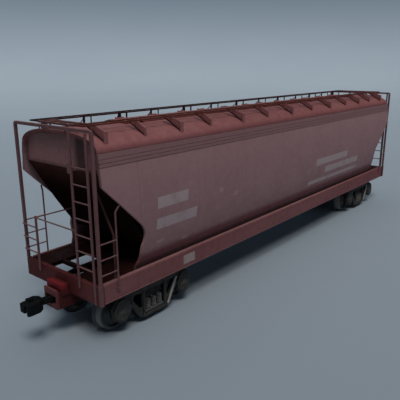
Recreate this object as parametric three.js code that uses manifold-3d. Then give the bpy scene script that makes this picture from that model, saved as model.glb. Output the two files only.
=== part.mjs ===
// A three-bay covered hopper car in HO scale (1:87.1), as a three.js scene graph.
// Units are millimetres. +X runs along the car, +Y is its left side and +Z is up.
// The origin lies midway between the trucks, on the plane that the wheel flanges stand on.
// End a is at -X and end b, with the hand brake, is at +X.
import * as THREE from "three";
import { mergeVertices } from "three/addons/utils/BufferGeometryUtils.js";
import Module from "manifold-3d";

const wasm = await Module();
wasm.setup();

// ---- Driving dimensions -------------------------------------------------------------------
const CAR_END = 96.4; // half length over the end sills
const BODY_END = 94.6; // half length of the side sheets and roof
const POST_OUT = 16.5; // half width over the corner posts
const EAVE_OUT = 16; // half width at the eaves
const SILL_OUT = 16.1; // half width over the side sills
const SILL_IN = 15.0;
const SILL_BOTTOM = 13.0;
const SILL_TOP = 18.4;
const DECK_TOP = 18.0; // end platform
const EAVE = 51.3; // where the side sheet meets the roof
const ROOF_RISE = 4.4;
const FRAME_TOP = 57.1; // top bar of the corner frame
const WALL = 0.8; // sheet thickness
const GAP = 0.1; // clearance between neighbouring fixed pieces
const TRUCK_X = 74.5; // half of the distance between truck centres
const AXLE_X = 12.4; // half of a truck's wheelbase
const WHEEL_SIDES = 16;
const TREAD_R = 5.25;
const FLANGE_R = 5.9; // to the flats of the faceted flange
const BACK_Y = 7.2; // half of the back-to-back distance of the wheels
const WHEEL_WIDTH = 2.8;
const BAY_PITCH = 37.5;
const HATCH_PITCH = 37.2;
const HATCH_HALF = 18.4;
const HATCH_HINGE = { y: 4.8, z: 56.25 };
const GATE_TRAVEL = 9.6;
const COUPLER_PIVOT = 96.6;
const COUPLER_Z = 11.8;
const BRAKE_WHEEL = { x: 98.6, y: 6.5, z: 36, r: 3 };
const ENDS = { a: -1, b: 1 };
const SIDES = { right: -1, left: 1 };

// ---- Materials ----------------------------------------------------------------------------
const paint = (color, roughness = 0.75, metalness = 0) => () =>
  new THREE.MeshStandardMaterial({ color, roughness, metalness });
const bodyPaint = paint(0x6b4a4c);
const roofPaint = paint(0x8a6264);
const endPaint = paint(0x5c4242);
const sillPaint = paint(0x7a5254);
const railPaint = paint(0x7b5a5a);
const truckPlastic = paint(0x55534f, 0.8);
const wheelMetal = paint(0x4c4a47, 0.5, 0.6);
const couplerMetal = paint(0x24211f, 0.55, 0.4);
const springSteel = paint(0x6a6763, 0.5, 0.7);

// ---- Solid helpers ------------------------------------------------------------------------
const WELD = 1e-4;

function solid(geometry) {
  geometry.deleteAttribute("normal");
  geometry.deleteAttribute("uv");
  const merged = mergeVertices(geometry, WELD);
  const mesh = new wasm.Mesh({
    numProp: 3,
    vertProperties: merged.attributes.position.array,
    triVerts: new Uint32Array(merged.index.array),
  });
  return new wasm.Manifold(mesh);
}

function box([xa, xb], [ya, yb], [za, zb]) {
  const size = [Math.abs(xb - xa), Math.abs(yb - ya), Math.abs(zb - za)];
  const geometry = new THREE.BoxGeometry(...size);
  geometry.translate((xa + xb) / 2, (ya + yb) / 2, (za + zb) / 2);
  return solid(geometry);
}

// An outline pushed along an axis: (y, z) points along x, (x, z) points along y.
function prism(axis, outline, from, to) {
  const shape = new THREE.Shape(outline.map(([u, v]) => new THREE.Vector2(u, v)));
  const depth = Math.abs(to - from);
  const low = Math.min(from, to);
  const geometry = new THREE.ExtrudeGeometry(shape, { depth, bevelEnabled: false });
  if (axis === "x") {
    geometry.translate(0, 0, low);
    geometry.rotateX(Math.PI / 2);
    geometry.rotateZ(Math.PI / 2);
  } else {
    geometry.translate(0, 0, -low - depth);
    geometry.rotateX(Math.PI / 2);
  }
  return solid(geometry);
}

function rod(start, end, radius, sides = 8) {
  const a = new THREE.Vector3(...start);
  const b = new THREE.Vector3(...end);
  const along = b.clone().sub(a);
  const geometry = new THREE.CylinderGeometry(radius, radius, along.length(), sides);
  const turn = new THREE.Quaternion().setFromUnitVectors(
    new THREE.Vector3(0, 1, 0),
    along.clone().normalize(),
  );
  geometry.applyQuaternion(turn);
  geometry.translate(...a.add(b).divideScalar(2).toArray());
  return solid(geometry);
}

// An (x, y) outline, turned half round for end a, pushed up from a height.
function slab(outline, end, bottom, depth) {
  const shape = new THREE.Shape(outline.map(([x, y]) => new THREE.Vector2(end * x, end * y)));
  const geometry = new THREE.ExtrudeGeometry(shape, { depth, bevelEnabled: false });
  geometry.translate(0, 0, bottom);
  return solid(geometry);
}

const join = (pieces) => pieces.reduce((whole, piece) => whole.add(piece));
const cut = (whole, pieces) => pieces.reduce((rest, piece) => rest.subtract(piece), whole);

function part(group, name, body, material) {
  const mesh = body.getMesh();
  const geometry = new THREE.BufferGeometry();
  geometry.setAttribute("position", new THREE.BufferAttribute(mesh.vertProperties, 3));
  geometry.setIndex(new THREE.BufferAttribute(mesh.triVerts, 1));
  geometry.computeVertexNormals();
  const made = new THREE.Mesh(geometry, material());
  made.name = name;
  group.add(made);
}

// ---- Body section: barrel sides under an arched roof --------------------------------------
const BARREL = { out: 17.4, z: 36.5, curveUp: 0.0064, curveDown: 0.0095, bottom: 14.5 };
const ROOF_POWER = 2.6;

function sheetY(z) {
  const above = z - BARREL.z;
  const curve = above > 0 ? BARREL.curveUp : BARREL.curveDown;
  return BARREL.out - curve * above * above;
}

function roofZ(y, halfWidth = EAVE_OUT, rise = ROOF_RISE) {
  const across = Math.min(1, Math.abs(y) / halfWidth);
  return EAVE + GAP + rise * Math.sqrt(1 - across ** ROOF_POWER);
}

const steps = (from, to, count) =>
  Array.from({ length: count + 1 }, (_, i) => from + ((to - from) * i) / count);

const SHEET_HEIGHTS = [...steps(EAVE, BARREL.z, 3), ...steps(BARREL.z, BARREL.bottom, 5).slice(1)];

function sideProfile(side) {
  const outer = SHEET_HEIGHTS.map((z) => [side * sheetY(z), z]);
  const inner = SHEET_HEIGHTS.map((z) => [side * (sheetY(z) - WALL), z]).reverse();
  return outer.concat(inner);
}

function roofArc(halfWidth, rise, count) {
  return steps(-Math.PI / 2, Math.PI / 2, count).map((angle) => {
    const y = halfWidth * Math.sin(angle);
    return [y, roofZ(y, halfWidth, rise)];
  });
}

// The space inside the sheets and roof, which the bulkheads and partitions fill.
function interior() {
  const inset = WALL + 0.15;
  const sides = SHEET_HEIGHTS.slice().reverse();
  const right = sides.map((z) => [-(sheetY(z) - inset), z]);
  const left = sides.map((z) => [sheetY(z) - inset, z]).reverse();
  const arc = roofArc(EAVE_OUT - inset, ROOF_RISE - inset, 12).slice(1, -1);
  return prism("x", right.concat(arc, left), -CAR_END, CAR_END);
}

// ---- Side sheets: curved plates with a notch over each end platform -----------------------
const NOTCH = { cornerX: 86.2, cornerZ: 27.4, r: 5.5, floor: 12 };

function notch(end) {
  const arc = steps(0.755 * Math.PI, 1.19 * Math.PI, 5).map((angle) => [
    NOTCH.cornerX + NOTCH.r * Math.cos(angle),
    NOTCH.cornerZ + NOTCH.r * Math.sin(angle),
  ]);
  const outline = [
    [CAR_END + 2, 47.2],
    ...arc,
    [81.5, 21],
    [82.6, 19.3],
    [82.6, NOTCH.floor],
    [CAR_END + 2, NOTCH.floor],
  ];
  const placed = outline.map(([x, z]) => [end * x, z]);
  return prism("y", placed, -POST_OUT - 2, POST_OUT + 2);
}

const CHORDS = [
  [48.2, 49.7],
  [49.9, EAVE],
];
const CHORD_PROUD = 0.25;

function sideSheet(side) {
  const plate = prism("x", sideProfile(side), -BODY_END, BODY_END);
  const chords = CHORDS.map(([low, high]) => {
    const outline = [
      [sheetY(low) - 0.4, low],
      [sheetY(low) + CHORD_PROUD, low],
      [sheetY(high) + CHORD_PROUD, high],
      [sheetY(high) - 0.4, high],
    ].map(([y, z]) => [side * y, z]);
    return prism("x", outline, -BODY_END, BODY_END);
  });
  return cut(join([plate, ...chords]), [notch(ENDS.a), notch(ENDS.b)]);
}

// ---- Roof, hatch coaming and hatch covers -------------------------------------------------
const THROAT_X = 73.8;
const THROAT_Y = 3;
const LIP = 0.3;
const COAMING_TOP = 56.1;
const COAMING_BOTTOM = 55.9;
const LID_TOP = 56.45;

function roof() {
  const outer = roofArc(EAVE_OUT, ROOF_RISE, 14);
  const inner = roofArc(EAVE_OUT - WALL, ROOF_RISE - WALL, 14).reverse();
  const shell = prism("x", outer.concat(inner), -BODY_END, BODY_END);
  const reach = LIP + GAP;
  const opening = box(
    [-THROAT_X - reach, THROAT_X + reach],
    [-THROAT_Y - reach, THROAT_Y + reach],
    [EAVE, FRAME_TOP],
  );
  return shell.subtract(opening);
}

const BATTEN_X = [-13.5, 0, 13.5];
const HINGE_HALF = 0.9;

function hatchCoaming() {
  const flange = box([-THROAT_X - 1.2, THROAT_X + 1.2], [-4.5, 4.5], [COAMING_BOTTOM, COAMING_TOP]);
  const lip = box(
    [-THROAT_X - LIP, THROAT_X + LIP],
    [-THROAT_Y - LIP, THROAT_Y + LIP],
    [54.95, COAMING_TOP - GAP],
  );
  const lugs = [];
  for (const centre of hatchCentres()) {
    for (const batten of BATTEN_X) {
      for (const side of [-1, 1]) {
        const near = centre + batten + side * (HINGE_HALF + GAP);
        const across = [4.4, HATCH_HINGE.y + 0.4];
        lugs.push(box([near, near + side * 0.5], across, [COAMING_BOTTOM, LID_TOP + 0.15]));
      }
    }
  }
  const throat = box([-THROAT_X, THROAT_X], [-THROAT_Y, THROAT_Y], [50, 60]);
  return join([flange, lip, ...lugs]).subtract(throat);
}

const hatchCentres = () => [-1.5, -0.5, 0.5, 1.5].map((step) => step * HATCH_PITCH);

function hatchCover(centre) {
  const crown = [
    [-4.4, COAMING_TOP + 0.05],
    [4.2, COAMING_TOP + 0.05],
    [4.2, LID_TOP - 0.15],
    [2, LID_TOP],
    [-2, LID_TOP],
    [-4.4, LID_TOP - 0.15],
  ];
  const lid = prism("x", crown, centre - HATCH_HALF, centre + HATCH_HALF);
  const battens = BATTEN_X.flatMap((offset) => {
    const x = centre + offset;
    const strap = box([x - 0.5, x + 0.5], [-5.1, HATCH_HINGE.y], [LID_TOP - 0.25, LID_TOP + 0.1]);
    const barrel = rod(
      [x - HINGE_HALF, HATCH_HINGE.y, HATCH_HINGE.z],
      [x + HINGE_HALF, HATCH_HINGE.y, HATCH_HINGE.z],
      0.25,
    );
    return [strap, barrel];
  });
  return join([lid, ...battens]);
}

// ---- End bulkheads, partitions and outlet hoppers -----------------------------------------
function endBulkhead(end) {
  const outline = [
    [93.6, 57],
    [93.6, 46.5],
    [80, 24.5],
    [56.6, 14.6],
    [56.6, 15.5],
    [79.45, 25.15],
    [92.8, 46.75],
    [92.8, 57],
  ].map(([x, z]) => [end * x, z]);
  return prism("y", outline, -POST_OUT, POST_OUT).intersect(interior());
}

function partition(end) {
  const x = (end * BAY_PITCH) / 2;
  const ridge = [
    [-5, 14.5],
    [5, 14.5],
    [WALL / 2, 19.1],
    [WALL / 2, 57],
    [-WALL / 2, 57],
    [-WALL / 2, 19.1],
  ].map(([offset, z]) => [x + offset, z]);
  return prism("y", ridge, -POST_OUT, POST_OUT).intersect(interior());
}

const HOPPER = { top: 14.3, bottom: 9.2, topX: 18.6, topY: 12.9, throatX: 4.9, throatY: 5.4 };

// A four-sided funnel: the common part of a wedge along x and a wedge along y.
function funnel(centre, inset) {
  const { top, bottom } = HOPPER;
  const wedge = (wide, narrow) => [
    [-wide + inset, top],
    [wide - inset, top],
    [narrow - inset, bottom],
    [-narrow + inset, bottom],
  ];
  const along = wedge(HOPPER.topX, HOPPER.throatX).map(([x, z]) => [centre + x, z]);
  const across = wedge(HOPPER.topY, HOPPER.throatY);
  return prism("y", along, -POST_OUT, POST_OUT).intersect(
    prism("x", across, centre - BAY_PITCH, centre + BAY_PITCH),
  );
}

const GATE = { halfX: 5.3, halfY: 5.5, bottom: 7.9, top: 8.4 };

function outletHopper(centre, way) {
  const { throatX, throatY, bottom } = HOPPER;
  const hollow = funnel(centre, WALL * 1.1);
  const collar = box([centre - 5.6, centre + 5.6], [-6.4, 6.4], [GATE.top + GAP, bottom + 0.3]);
  const railEnd = centre + way * (GATE.halfX + GATE_TRAVEL + 0.4);
  const rails = [-1, 1].flatMap((side) => [
    box([centre - way * 5.6, railEnd], [side * 5.7, side * 6.4], [7.1, bottom]),
    box([centre - way * 5.6, railEnd], [side * 4.9, side * 6.4], [7.1, GATE.bottom - GAP]),
  ]);
  const shaft = box([railEnd - way * 0.8, railEnd], [-6.4, 6.4], [GATE.top + GAP, bottom]);
  const throat = box(
    [centre - throatX + WALL, centre + throatX - WALL],
    [-throatY + WALL, throatY - WALL],
    [7, bottom + 1],
  );
  return cut(join([funnel(centre, 0), collar, ...rails, shaft]), [hollow, throat]);
}

function outletGate(centre, way) {
  const plate = box(
    [centre - GATE.halfX, centre + GATE.halfX],
    [-GATE.halfY, GATE.halfY],
    [GATE.bottom, GATE.top],
  );
  const edge = centre + way * GATE.halfX;
  const rack = box([edge - way * 1.2, edge], [-1.2, 1.2], [7.2, GATE.bottom + 0.1]);
  return plate.add(rack);
}

// ---- Sills and end platforms --------------------------------------------------------------
const SIDE_SILL_END = 94.9;

function sideSill(side) {
  const outline = [
    [SILL_IN, SILL_BOTTOM],
    [SILL_OUT, SILL_BOTTOM],
    [SILL_OUT, 17.5],
    [15.9, 18.1],
    [15.5, SILL_TOP],
    [SILL_IN, SILL_TOP],
  ].map(([y, z]) => [side * y, z]);
  return prism("x", outline, -SIDE_SILL_END, SIDE_SILL_END);
}

const END_SILL = { back: 95.1, bottom: 12.9 };
const CROSS_BEAM = [90.1, 91.1];
const DECK = { inner: { left: 7, right: 4.9 }, bottom: 17.4, front: 95.4, back: 82.9 };
const SHEAR_PLATE = { front: 83.5, back: 65.5, halfY: 13 };

// The beams and decks a crew member stands on, and the plate that closes the underframe behind.
function endPlatform(end) {
  const outermost = SILL_IN - GAP;
  const wide = [-outermost, outermost];
  const beamBottom = 16.8;
  const sill = box(
    [end * END_SILL.back, end * CAR_END],
    [-POST_OUT, POST_OUT],
    [END_SILL.bottom, DECK_TOP],
  );
  const beam = box([end * CROSS_BEAM[0], end * CROSS_BEAM[1]], wide, [beamBottom, DECK_TOP]);
  const sides = Object.entries(SIDES).flatMap(([name, side]) => {
    const inner = DECK.inner[name];
    return [
      box(
        [end * DECK.back, end * DECK.front],
        [side * inner, side * outermost],
        [DECK.bottom, DECK_TOP],
      ),
      box(
        [end * SHEAR_PLATE.back, end * DECK.front],
        [side * inner, side * (inner + 0.7)],
        [beamBottom, DECK_TOP],
      ),
    ];
  });
  const plate = box(
    [end * SHEAR_PLATE.back, end * SHEAR_PLATE.front],
    [-SHEAR_PLATE.halfY, SHEAR_PLATE.halfY],
    [DECK.bottom, DECK_TOP],
  );
  return join([sill, beam, ...sides, plate]);
}

const DRAFT = { halfY: 2.9, bottom: 9.1, top: 13.7, front: 100.2, back: 80 };
const FRONT_PLATE = { halfY: 2.7, bottom: 9.1, top: 14.6, back: 99.6 };
const POCKET = { halfY: 2.3, top: 12.75, back: 94.6 };
const BOLSTER_TOP = 16.6;
const CENTRE_PLATE = 10.8;

function draftSill(end) {
  const across = [-DRAFT.halfY, DRAFT.halfY];
  const along = [end * DRAFT.back, end * (FRONT_PLATE.back + GAP)];
  const channel = box(along, across, [DRAFT.bottom, DRAFT.top]);
  const clearOfBeam = box(
    [end * (CAR_END - 1.4), end * (CAR_END + GAP)],
    across,
    [12.8, DRAFT.top + 1],
  );
  const front = box(
    [end * FRONT_PLATE.back, end * DRAFT.front],
    [-FRONT_PLATE.halfY, FRONT_PLATE.halfY],
    [FRONT_PLATE.bottom, FRONT_PLATE.top],
  );
  const brow = box([end * (CAR_END + GAP), end * 98.8], [-3.4, 3.4], [12.9, 15.8]);
  const spine = box([end * 58, end * (DRAFT.back + 1)], across, [11.6, DRAFT.top]);
  const bolster = prism(
    "x",
    [
      [-14.6, 14.2],
      [-14.6, BOLSTER_TOP],
      [14.6, BOLSTER_TOP],
      [14.6, 14.2],
      [6, 12.2],
      [-6, 12.2],
    ],
    end * (TRUCK_X - 2.2),
    end * (TRUCK_X + 2.2),
  );
  const notches = [-1, 1].map((side) =>
    box([end * 70, end * 80], [side * 11.7, side * 15], [14.3, BOLSTER_TOP + 1]),
  );
  const plate = rod([end * TRUCK_X, 0, CENTRE_PLATE], [end * TRUCK_X, 0, 12.4], 3, 16);
  const screwHole = rod([end * TRUCK_X, 0, 10], [end * TRUCK_X, 0, 14], 1.05, 12);
  const pocket = box(
    [end * POCKET.back, end * (DRAFT.front + 1)],
    [-POCKET.halfY, POCKET.halfY],
    [DRAFT.bottom - 1, POCKET.top],
  );
  const body = join([channel.subtract(clearOfBeam), front, brow, spine, bolster, plate]);
  return cut(body, [...notches, screwHole, pocket]);
}

function couplerBoxLid(end) {
  const plate = box(
    [end * (POCKET.back + GAP), end * DRAFT.front],
    [-POCKET.halfY + GAP, POCKET.halfY - GAP],
    [DRAFT.bottom, DRAFT.bottom + 1.3],
  );
  const x = end * COUPLER_PIVOT;
  const pin = rod([x, 0, DRAFT.bottom + 0.4], [x, 0, POCKET.top - GAP], 0.55, 12);
  return plate.add(pin);
}

// ---- Corner frames, ladders, rails and walkways -------------------------------------------
const LADDER_X = [CAR_END + 0.05, CAR_END + 0.55];
const RUNG_X = [CAR_END + 0.1, CAR_END + 0.45];

const POST_BACK = 95.6;

function cornerFrame(end) {
  const topBar = [POST_BACK, CAR_END].map((x) => end * x);
  const pieces = [box(topBar, [-POST_OUT, POST_OUT], [FRAME_TOP - 0.8, FRAME_TOP])];
  const tie = [WALKWAY.legFront + GAP, POST_BACK + 0.2].map((x) => end * x);
  for (const y of [-WALKWAY.leg, WALKWAY.leg]) {
    pieces.push(box(tie, [y - 0.3, y + 0.3], [FRAME_TOP - 0.8, FRAME_TOP - 0.2]));
  }
  for (const side of Object.values(SIDES)) {
    const post = [side * (POST_OUT - 0.8), side * POST_OUT];
    pieces.push(box([end * POST_BACK, end * CAR_END], post, [DECK_TOP + GAP, FRAME_TOP]));
    pieces.push(...sideLadder(end, side));
  }
  return join(pieces);
}

const STILE_X = { 1: 89.5, "-1": 90.4 };
const SIDE_RUNGS = [21, 25.1, 29.2];
const TIE_X = 89.5;

// The stile on the sill, the bend that ties it to the side sheet, and the rungs to the post.
function sideLadder(end, side) {
  const stileX = STILE_X[side];
  const outside = [side * 16.15, side * 16.6];
  const stile = box([end * (stileX - 0.25), end * (stileX + 0.25)], outside, [15.6, 36.5]);
  const tie = [end * TIE_X, side * 16.9, 38.1];
  const bend = rod([end * stileX, side * 16.35, 36.3], tie, 0.22, 6);
  const rungs = SIDE_RUNGS.map((z) =>
    box([end * (stileX - 0.2), end * 96], [side * 16.15, side * 16.5], [z - 0.2, z + 0.2]),
  );
  return [stile, bend, ...rungs];
}

const LADDER = { top: 56.4, first: 22, pitch: 4.3, rungs: 7 };
const INNER_STILE = { y: -8.4, foot: 16 };
const OUTER_STILE = { y: -14.7, foot: 13.2 };

function endLadder(end) {
  const across = LADDER_X.map((x) => end * x);
  const stiles = [INNER_STILE, OUTER_STILE].map(({ y, foot }) =>
    box(across, [y - 0.3, y + 0.3], [foot, LADDER.top]),
  );
  const rungs = steps(0, LADDER.rungs - 1, LADDER.rungs - 1).map((i) => {
    const z = LADDER.first + i * LADDER.pitch;
    return box(RUNG_X.map((x) => end * x), [OUTER_STILE.y, INNER_STILE.y], [z - 0.2, z + 0.2]);
  });
  return join([...stiles, ...rungs]);
}

const RAIL = { postY: 9.4, z: 31.4, top: 31.9, back: 84.9 };
const RAIL_RUNGS = [21, 24.8, 28.5];

function endRail(end) {
  const { postY, z, top, back } = RAIL;
  const thin = RUNG_X.map((x) => end * x);
  const foot = INNER_STILE.foot;
  const post = box(LADDER_X.map((x) => end * x), [postY - 0.3, postY + 0.3], [foot, top]);
  const across = box(thin, [INNER_STILE.y + 0.4, postY], [z - 0.2, z + 0.2]);
  const length = [end * back, end * LADDER_X[1]];
  const along = box(length, [postY - 0.2, postY + 0.2], [z - 0.1, z + 0.3]);
  const rungs = RAIL_RUNGS.map((height) =>
    box(thin, [postY, 16.3], [height - 0.2, height + 0.2]),
  );
  return join([post, across, along, ...rungs]);
}

const BOARD = { inner: 7.6, outer: 11.4, bottom: 57, top: 57.6, end: 94.5 };
const BRACKET_OFFSETS = [0, 16.4, 32, 48.3, 62, 75.5, 89];
const BRACKET_SHIFT = -1.8; // the whole row sits a little towards end a
const HEAVY_BRACKET = { reach: 15, crest: 56.1, half: 0.6 };
const LIGHT_BRACKET = { reach: 14.5, crest: 55.7, half: 0.35 };
const BRACKET_FOOT = 0.35;
const ROOF_CLEARANCE = 0.15;

// A gusset under the right roof walk. Its lower edge climbs from a foot on the roof to the walk.
function gusset(side, x, { reach, crest, half }) {
  const innermost = BOARD.inner + 0.2;
  const climb = BOARD.bottom - roofZ(innermost) - ROOF_CLEARANCE;
  const under = steps(reach, innermost, 5).map((y) => {
    const inward = (reach - y) / (reach - innermost);
    return [side * y, roofZ(y) + ROOF_CLEARANCE + climb * inward ** 1.5];
  });
  const top = BOARD.bottom + 0.2;
  const outline = [
    [side * innermost, top],
    [side * BOARD.outer, top],
    [side * reach, crest],
    ...under,
  ];
  const web = prism("x", outline, x - half / 2, x + half / 2);
  const foot = box(
    [x - half, x + half],
    [side * (reach - BRACKET_FOOT), side * reach],
    [roofZ(reach - BRACKET_FOOT) + ROOF_CLEARANCE, crest],
  );
  return web.add(foot);
}

// A strap and a slanting rod, which carry the left roof walk.
function strap(side, x, { reach, half }) {
  const depth = 1.5;
  const upright = box(
    [x - half, x + half],
    [side * BOARD.inner, side * (BOARD.inner + 0.3)],
    [BOARD.bottom - depth, BOARD.bottom + 0.2],
  );
  const foot = [x, side * reach, roofZ(reach) + ROOF_CLEARANCE + 0.2];
  const brace = rod([x, side * (BOARD.outer - 0.3), BOARD.bottom + 0.2], foot, 0.2, 6);
  return upright.add(brace);
}

function runningBoard(side) {
  const support = side === SIDES.right ? gusset : strap;
  const { inner, outer, bottom, top, end } = BOARD;
  const deck = box([-end, end], [side * inner, side * outer], [bottom, top]);
  const brackets = BRACKET_OFFSETS.flatMap((offset, i) => {
    const size = i % 2 === 0 ? HEAVY_BRACKET : LIGHT_BRACKET;
    const pair = offset === 0 ? [0] : [-offset, offset];
    return pair.map((x) => support(side, x + BRACKET_SHIFT, size));
  });
  return join([deck, ...brackets]);
}

const WALKWAY = { depth: 4.1, leg: 4.5, legFront: 94.4, legBack: 93.8 };

// The cross walk between the two roof walks, on a pair of legs.
function endWalkway(end) {
  const across = [-BOARD.inner + GAP, BOARD.inner - GAP];
  const along = [end * (BOARD.end - WALKWAY.depth), end * BOARD.end];
  const deck = box(along, across, [BOARD.bottom, BOARD.top]);
  const legs = [-WALKWAY.leg, WALKWAY.leg].map((y) =>
    box(
      [end * WALKWAY.legBack, end * WALKWAY.legFront],
      [y - 0.3, y + 0.3],
      [roofZ(y) + 0.25, BOARD.bottom + 0.2],
    ),
  );
  return join([deck, ...legs]);
}

// ---- Brake gear ---------------------------------------------------------------------------
function brakeHousing() {
  const { y, z } = BRAKE_WHEEL;
  const column = box([97.05, 97.7], [y - 0.7, y + 0.7], [15, z + 1]);
  const gearCase = box([97.05, 98.2], [y - 1.7, y + 1.7], [z - 2.6, z + 2]);
  const foot = box([CAR_END + 0.05, 97.7], [y - 1.2, y + 1.2], [14.6, 16.4]);
  return join([column, gearCase, foot]);
}

function brakeWheel() {
  const { x, y, z, r } = BRAKE_WHEEL;
  const section = [
    [r - 0.5, -0.25],
    [r, -0.25],
    [r, 0.25],
    [r - 0.5, 0.25],
    [r - 0.5, -0.25],
  ].map(([u, v]) => new THREE.Vector2(u, v));
  const ring = new THREE.LatheGeometry(section, 20);
  ring.rotateZ(Math.PI / 2);
  ring.translate(x + 0.35, y, z);
  const hub = rod([x - 0.3, y, z], [x + 0.7, y, z], 0.6, 12);
  const spokes = steps(0, 4, 4).map((i) => {
    const angle = (2 * Math.PI * (i + 0.5)) / 5;
    const tip = [x + 0.35, y + (r - 0.3) * Math.sin(angle), z + (r - 0.3) * Math.cos(angle)];
    return rod([x + 0.35, y, z], tip, 0.2, 6);
  });
  return join([solid(ring), hub, ...spokes]);
}

const TANK = { x: 86.4, z: 14.8, hangerTop: 17.3 };

function brakeCylinder() {
  const { x, z } = TANK;
  const barrel = rod([x, 5.8, z], [x, 11, z], 1.8, 14);
  const head = rod([x, 10.6, z], [x, 11.6, z], 2.1, 14);
  const pushRod = rod([x, 11.2, z], [x, 13.4, z], 0.35);
  const hanger = box([x - 0.8, x + 0.8], [8, 9.8], [z + 1, TANK.hangerTop]);
  return join([barrel, head, pushRod, hanger]);
}

function airReservoir() {
  const { x, z } = TANK;
  const barrel = rod([x, -12.4, z], [x, -6, z], 2, 14);
  const ends = rod([x, -12.9, z], [x, -5.7, z], 1.4, 14);
  const hanger = box([x - 0.8, x + 0.8], [-10.2, -8.2], [z + 1, TANK.hangerTop]);
  return join([barrel, ends, hanger]);
}

// ---- Couplers -----------------------------------------------------------------------------
const HEAD_HALF_HEIGHT = 1.5;
const EAR = 0.35;

function coupler(end) {
  const across = (x) => end * x;
  const low = COUPLER_Z - 0.75;
  const high = COUPLER_Z + 0.75;
  const ring = rod([across(COUPLER_PIVOT), 0, low], [across(COUPLER_PIVOT), 0, high], 1.25, 16);
  const shank = box([across(COUPLER_PIVOT), across(103.8)], [-0.8, 0.8], [low, high]);
  const head = [
    [103, -0.9],
    [104, -2.15],
    [104.8, -2.15],
    [104.8, 0.55],
    [106.2, 0.75],
    [107.9, 1.25],
    [108.2, 1.5],
    [108.2, 2.3],
    [107.6, 2.5],
    [104.9, 2.5],
    [103.4, 1.5],
  ];
  const guardArm = slab(head, end, COUPLER_Z - HEAD_HALF_HEIGHT, 2 * HEAD_HALF_HEIGHT);
  const hole = rod([across(COUPLER_PIVOT), 0, 9], [across(COUPLER_PIVOT), 0, 14], 0.65, 12);
  const ears = [COUPLER_Z - HEAD_HALF_HEIGHT, COUPLER_Z + HEAD_HALF_HEIGHT - EAR].map((z) =>
    box([across(104.4), across(106.3)], [end * -2.1, end * -0.7], [z, z + EAR]),
  );
  return join([ring, shank, guardArm, ...ears]).subtract(hole);
}

function knuckle(end) {
  const outline = [
    [105.1, -1.9],
    [106.4, -2.15],
    [107.9, -1.9],
    [108.3, -1.2],
    [108.3, 0.7],
    [107.5, 0.7],
    [106.9, 0.1],
    [105.4, -0.1],
    [105.1, -0.6],
  ];
  const half = HEAD_HALF_HEIGHT - EAR - GAP;
  return slab(outline, end, COUPLER_Z - half, 2 * half);
}

// ---- Trucks -------------------------------------------------------------------------------
const SIDE_FRAME = { inner: 11.4, outer: 13, cap: 14.1 };
const SPRING_WINDOW = { half: 3.9, bottom: 3.1, top: 9.4 };
const LEVER = { top: [8.6, 9.5], bottom: [5.3, 2.8], y: 13.15, r: 0.35 };
const BEARING_Z = FLANGE_R;

// Half of the casting's outline: the top bar, a bearing housing and the slanting lower bar.
const FRAME_HALF = [
  [0, 11.5],
  [7.5, 11.5],
  [12, 10.9],
  [14.6, 10],
  [15.8, 8.4],
  [15.6, 5.6],
  [14.6, 4.2],
  [10.4, 3.9],
  [9.8, 4.8],
  [9.5, 7.2],
  [5.7, 2.1],
  [4.6, 1.5],
  [0, 1.5],
];
const FRAME_WINDOW = [
  [4.9, 9.4],
  [7.8, 9.6],
  [8.2, 8.3],
  [5.9, 5.2],
  [4.9, 4.6],
];

function sideFrame(centre, side) {
  const mirrored = FRAME_HALF.slice(1, -1).map(([x, z]) => [-x, z]).reverse();
  const plate = prism(
    "y",
    FRAME_HALF.concat(mirrored).map(([x, z]) => [centre + x, z]),
    side * SIDE_FRAME.inner,
    side * SIDE_FRAME.outer,
  );
  const through = [side * (SIDE_FRAME.inner - 1), side * (SIDE_FRAME.outer + 1)];
  const { half, bottom, top } = SPRING_WINDOW;
  const springWindow = box([centre - half, centre + half], through, [bottom, top]);
  const windows = [-1, 1].map((way) => {
    const outline = FRAME_WINDOW.map(([x, z]) => [centre + way * x, z]);
    return prism("y", outline, ...through);
  });
  const turned = (way, from, to, radius, sides) => {
    const x = centre + way * AXLE_X;
    return rod([x, side * from, BEARING_Z], [x, side * to, BEARING_Z], radius, sides);
  };
  const bearings = [-1, 1].flatMap((way) => [
    turned(way, 12, 13.6, 2.2, 16),
    turned(way, 13, SIDE_FRAME.cap, 1.5, 16),
  ]);
  const cups = [-1, 1].map((way) => turned(way, 11, 12.8, 1.05, 12));
  const lever = rod(
    [centre + LEVER.top[0], side * LEVER.y, LEVER.top[1]],
    [centre + LEVER.bottom[0], side * LEVER.y, LEVER.bottom[1]],
    LEVER.r,
    6,
  );
  return cut(join([plate, ...bearings, lever]), [springWindow, ...windows, ...cups]);
}

function truckBolster(centre) {
  const beam = prism(
    "x",
    [
      [-11.2, 7.4],
      [-5, 6.8],
      [5, 6.8],
      [11.2, 7.4],
      [11.2, 9.5],
      [5, 10.5],
      [-5, 10.5],
      [-11.2, 9.5],
    ],
    centre - 2.3,
    centre + 2.3,
  );
  const ends = [-1, 1].map((side) =>
    box([centre - 3.4, centre + 3.4], [side * 10.6, side * 12.4], [6.9, 9.1]),
  );
  const hole = rod([centre, 0, 6], [centre, 0, 11], 1.15, 12);
  return join([beam, ...ends]).subtract(hole);
}

function springGroup(centre, side) {
  const plate = box([centre - 3.5, centre + 3.5], [side * 11.5, side * 12.9], [3.2, 3.7]);
  const coils = [-2.3, 0, 2.3].map((x) =>
    rod([centre + x, side * 12.2, 3.5], [centre + x, side * 12.2, 6.8], 0.95, 10),
  );
  return join([plate, ...coils]);
}

function truckScrew(centre) {
  const head = rod([centre, 0, 5.8], [centre, 0, 6.7], 1.8, 16);
  const shank = rod([centre, 0, 6.5], [centre, 0, 13.4], 0.9, 12);
  return head.add(shank);
}

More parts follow.
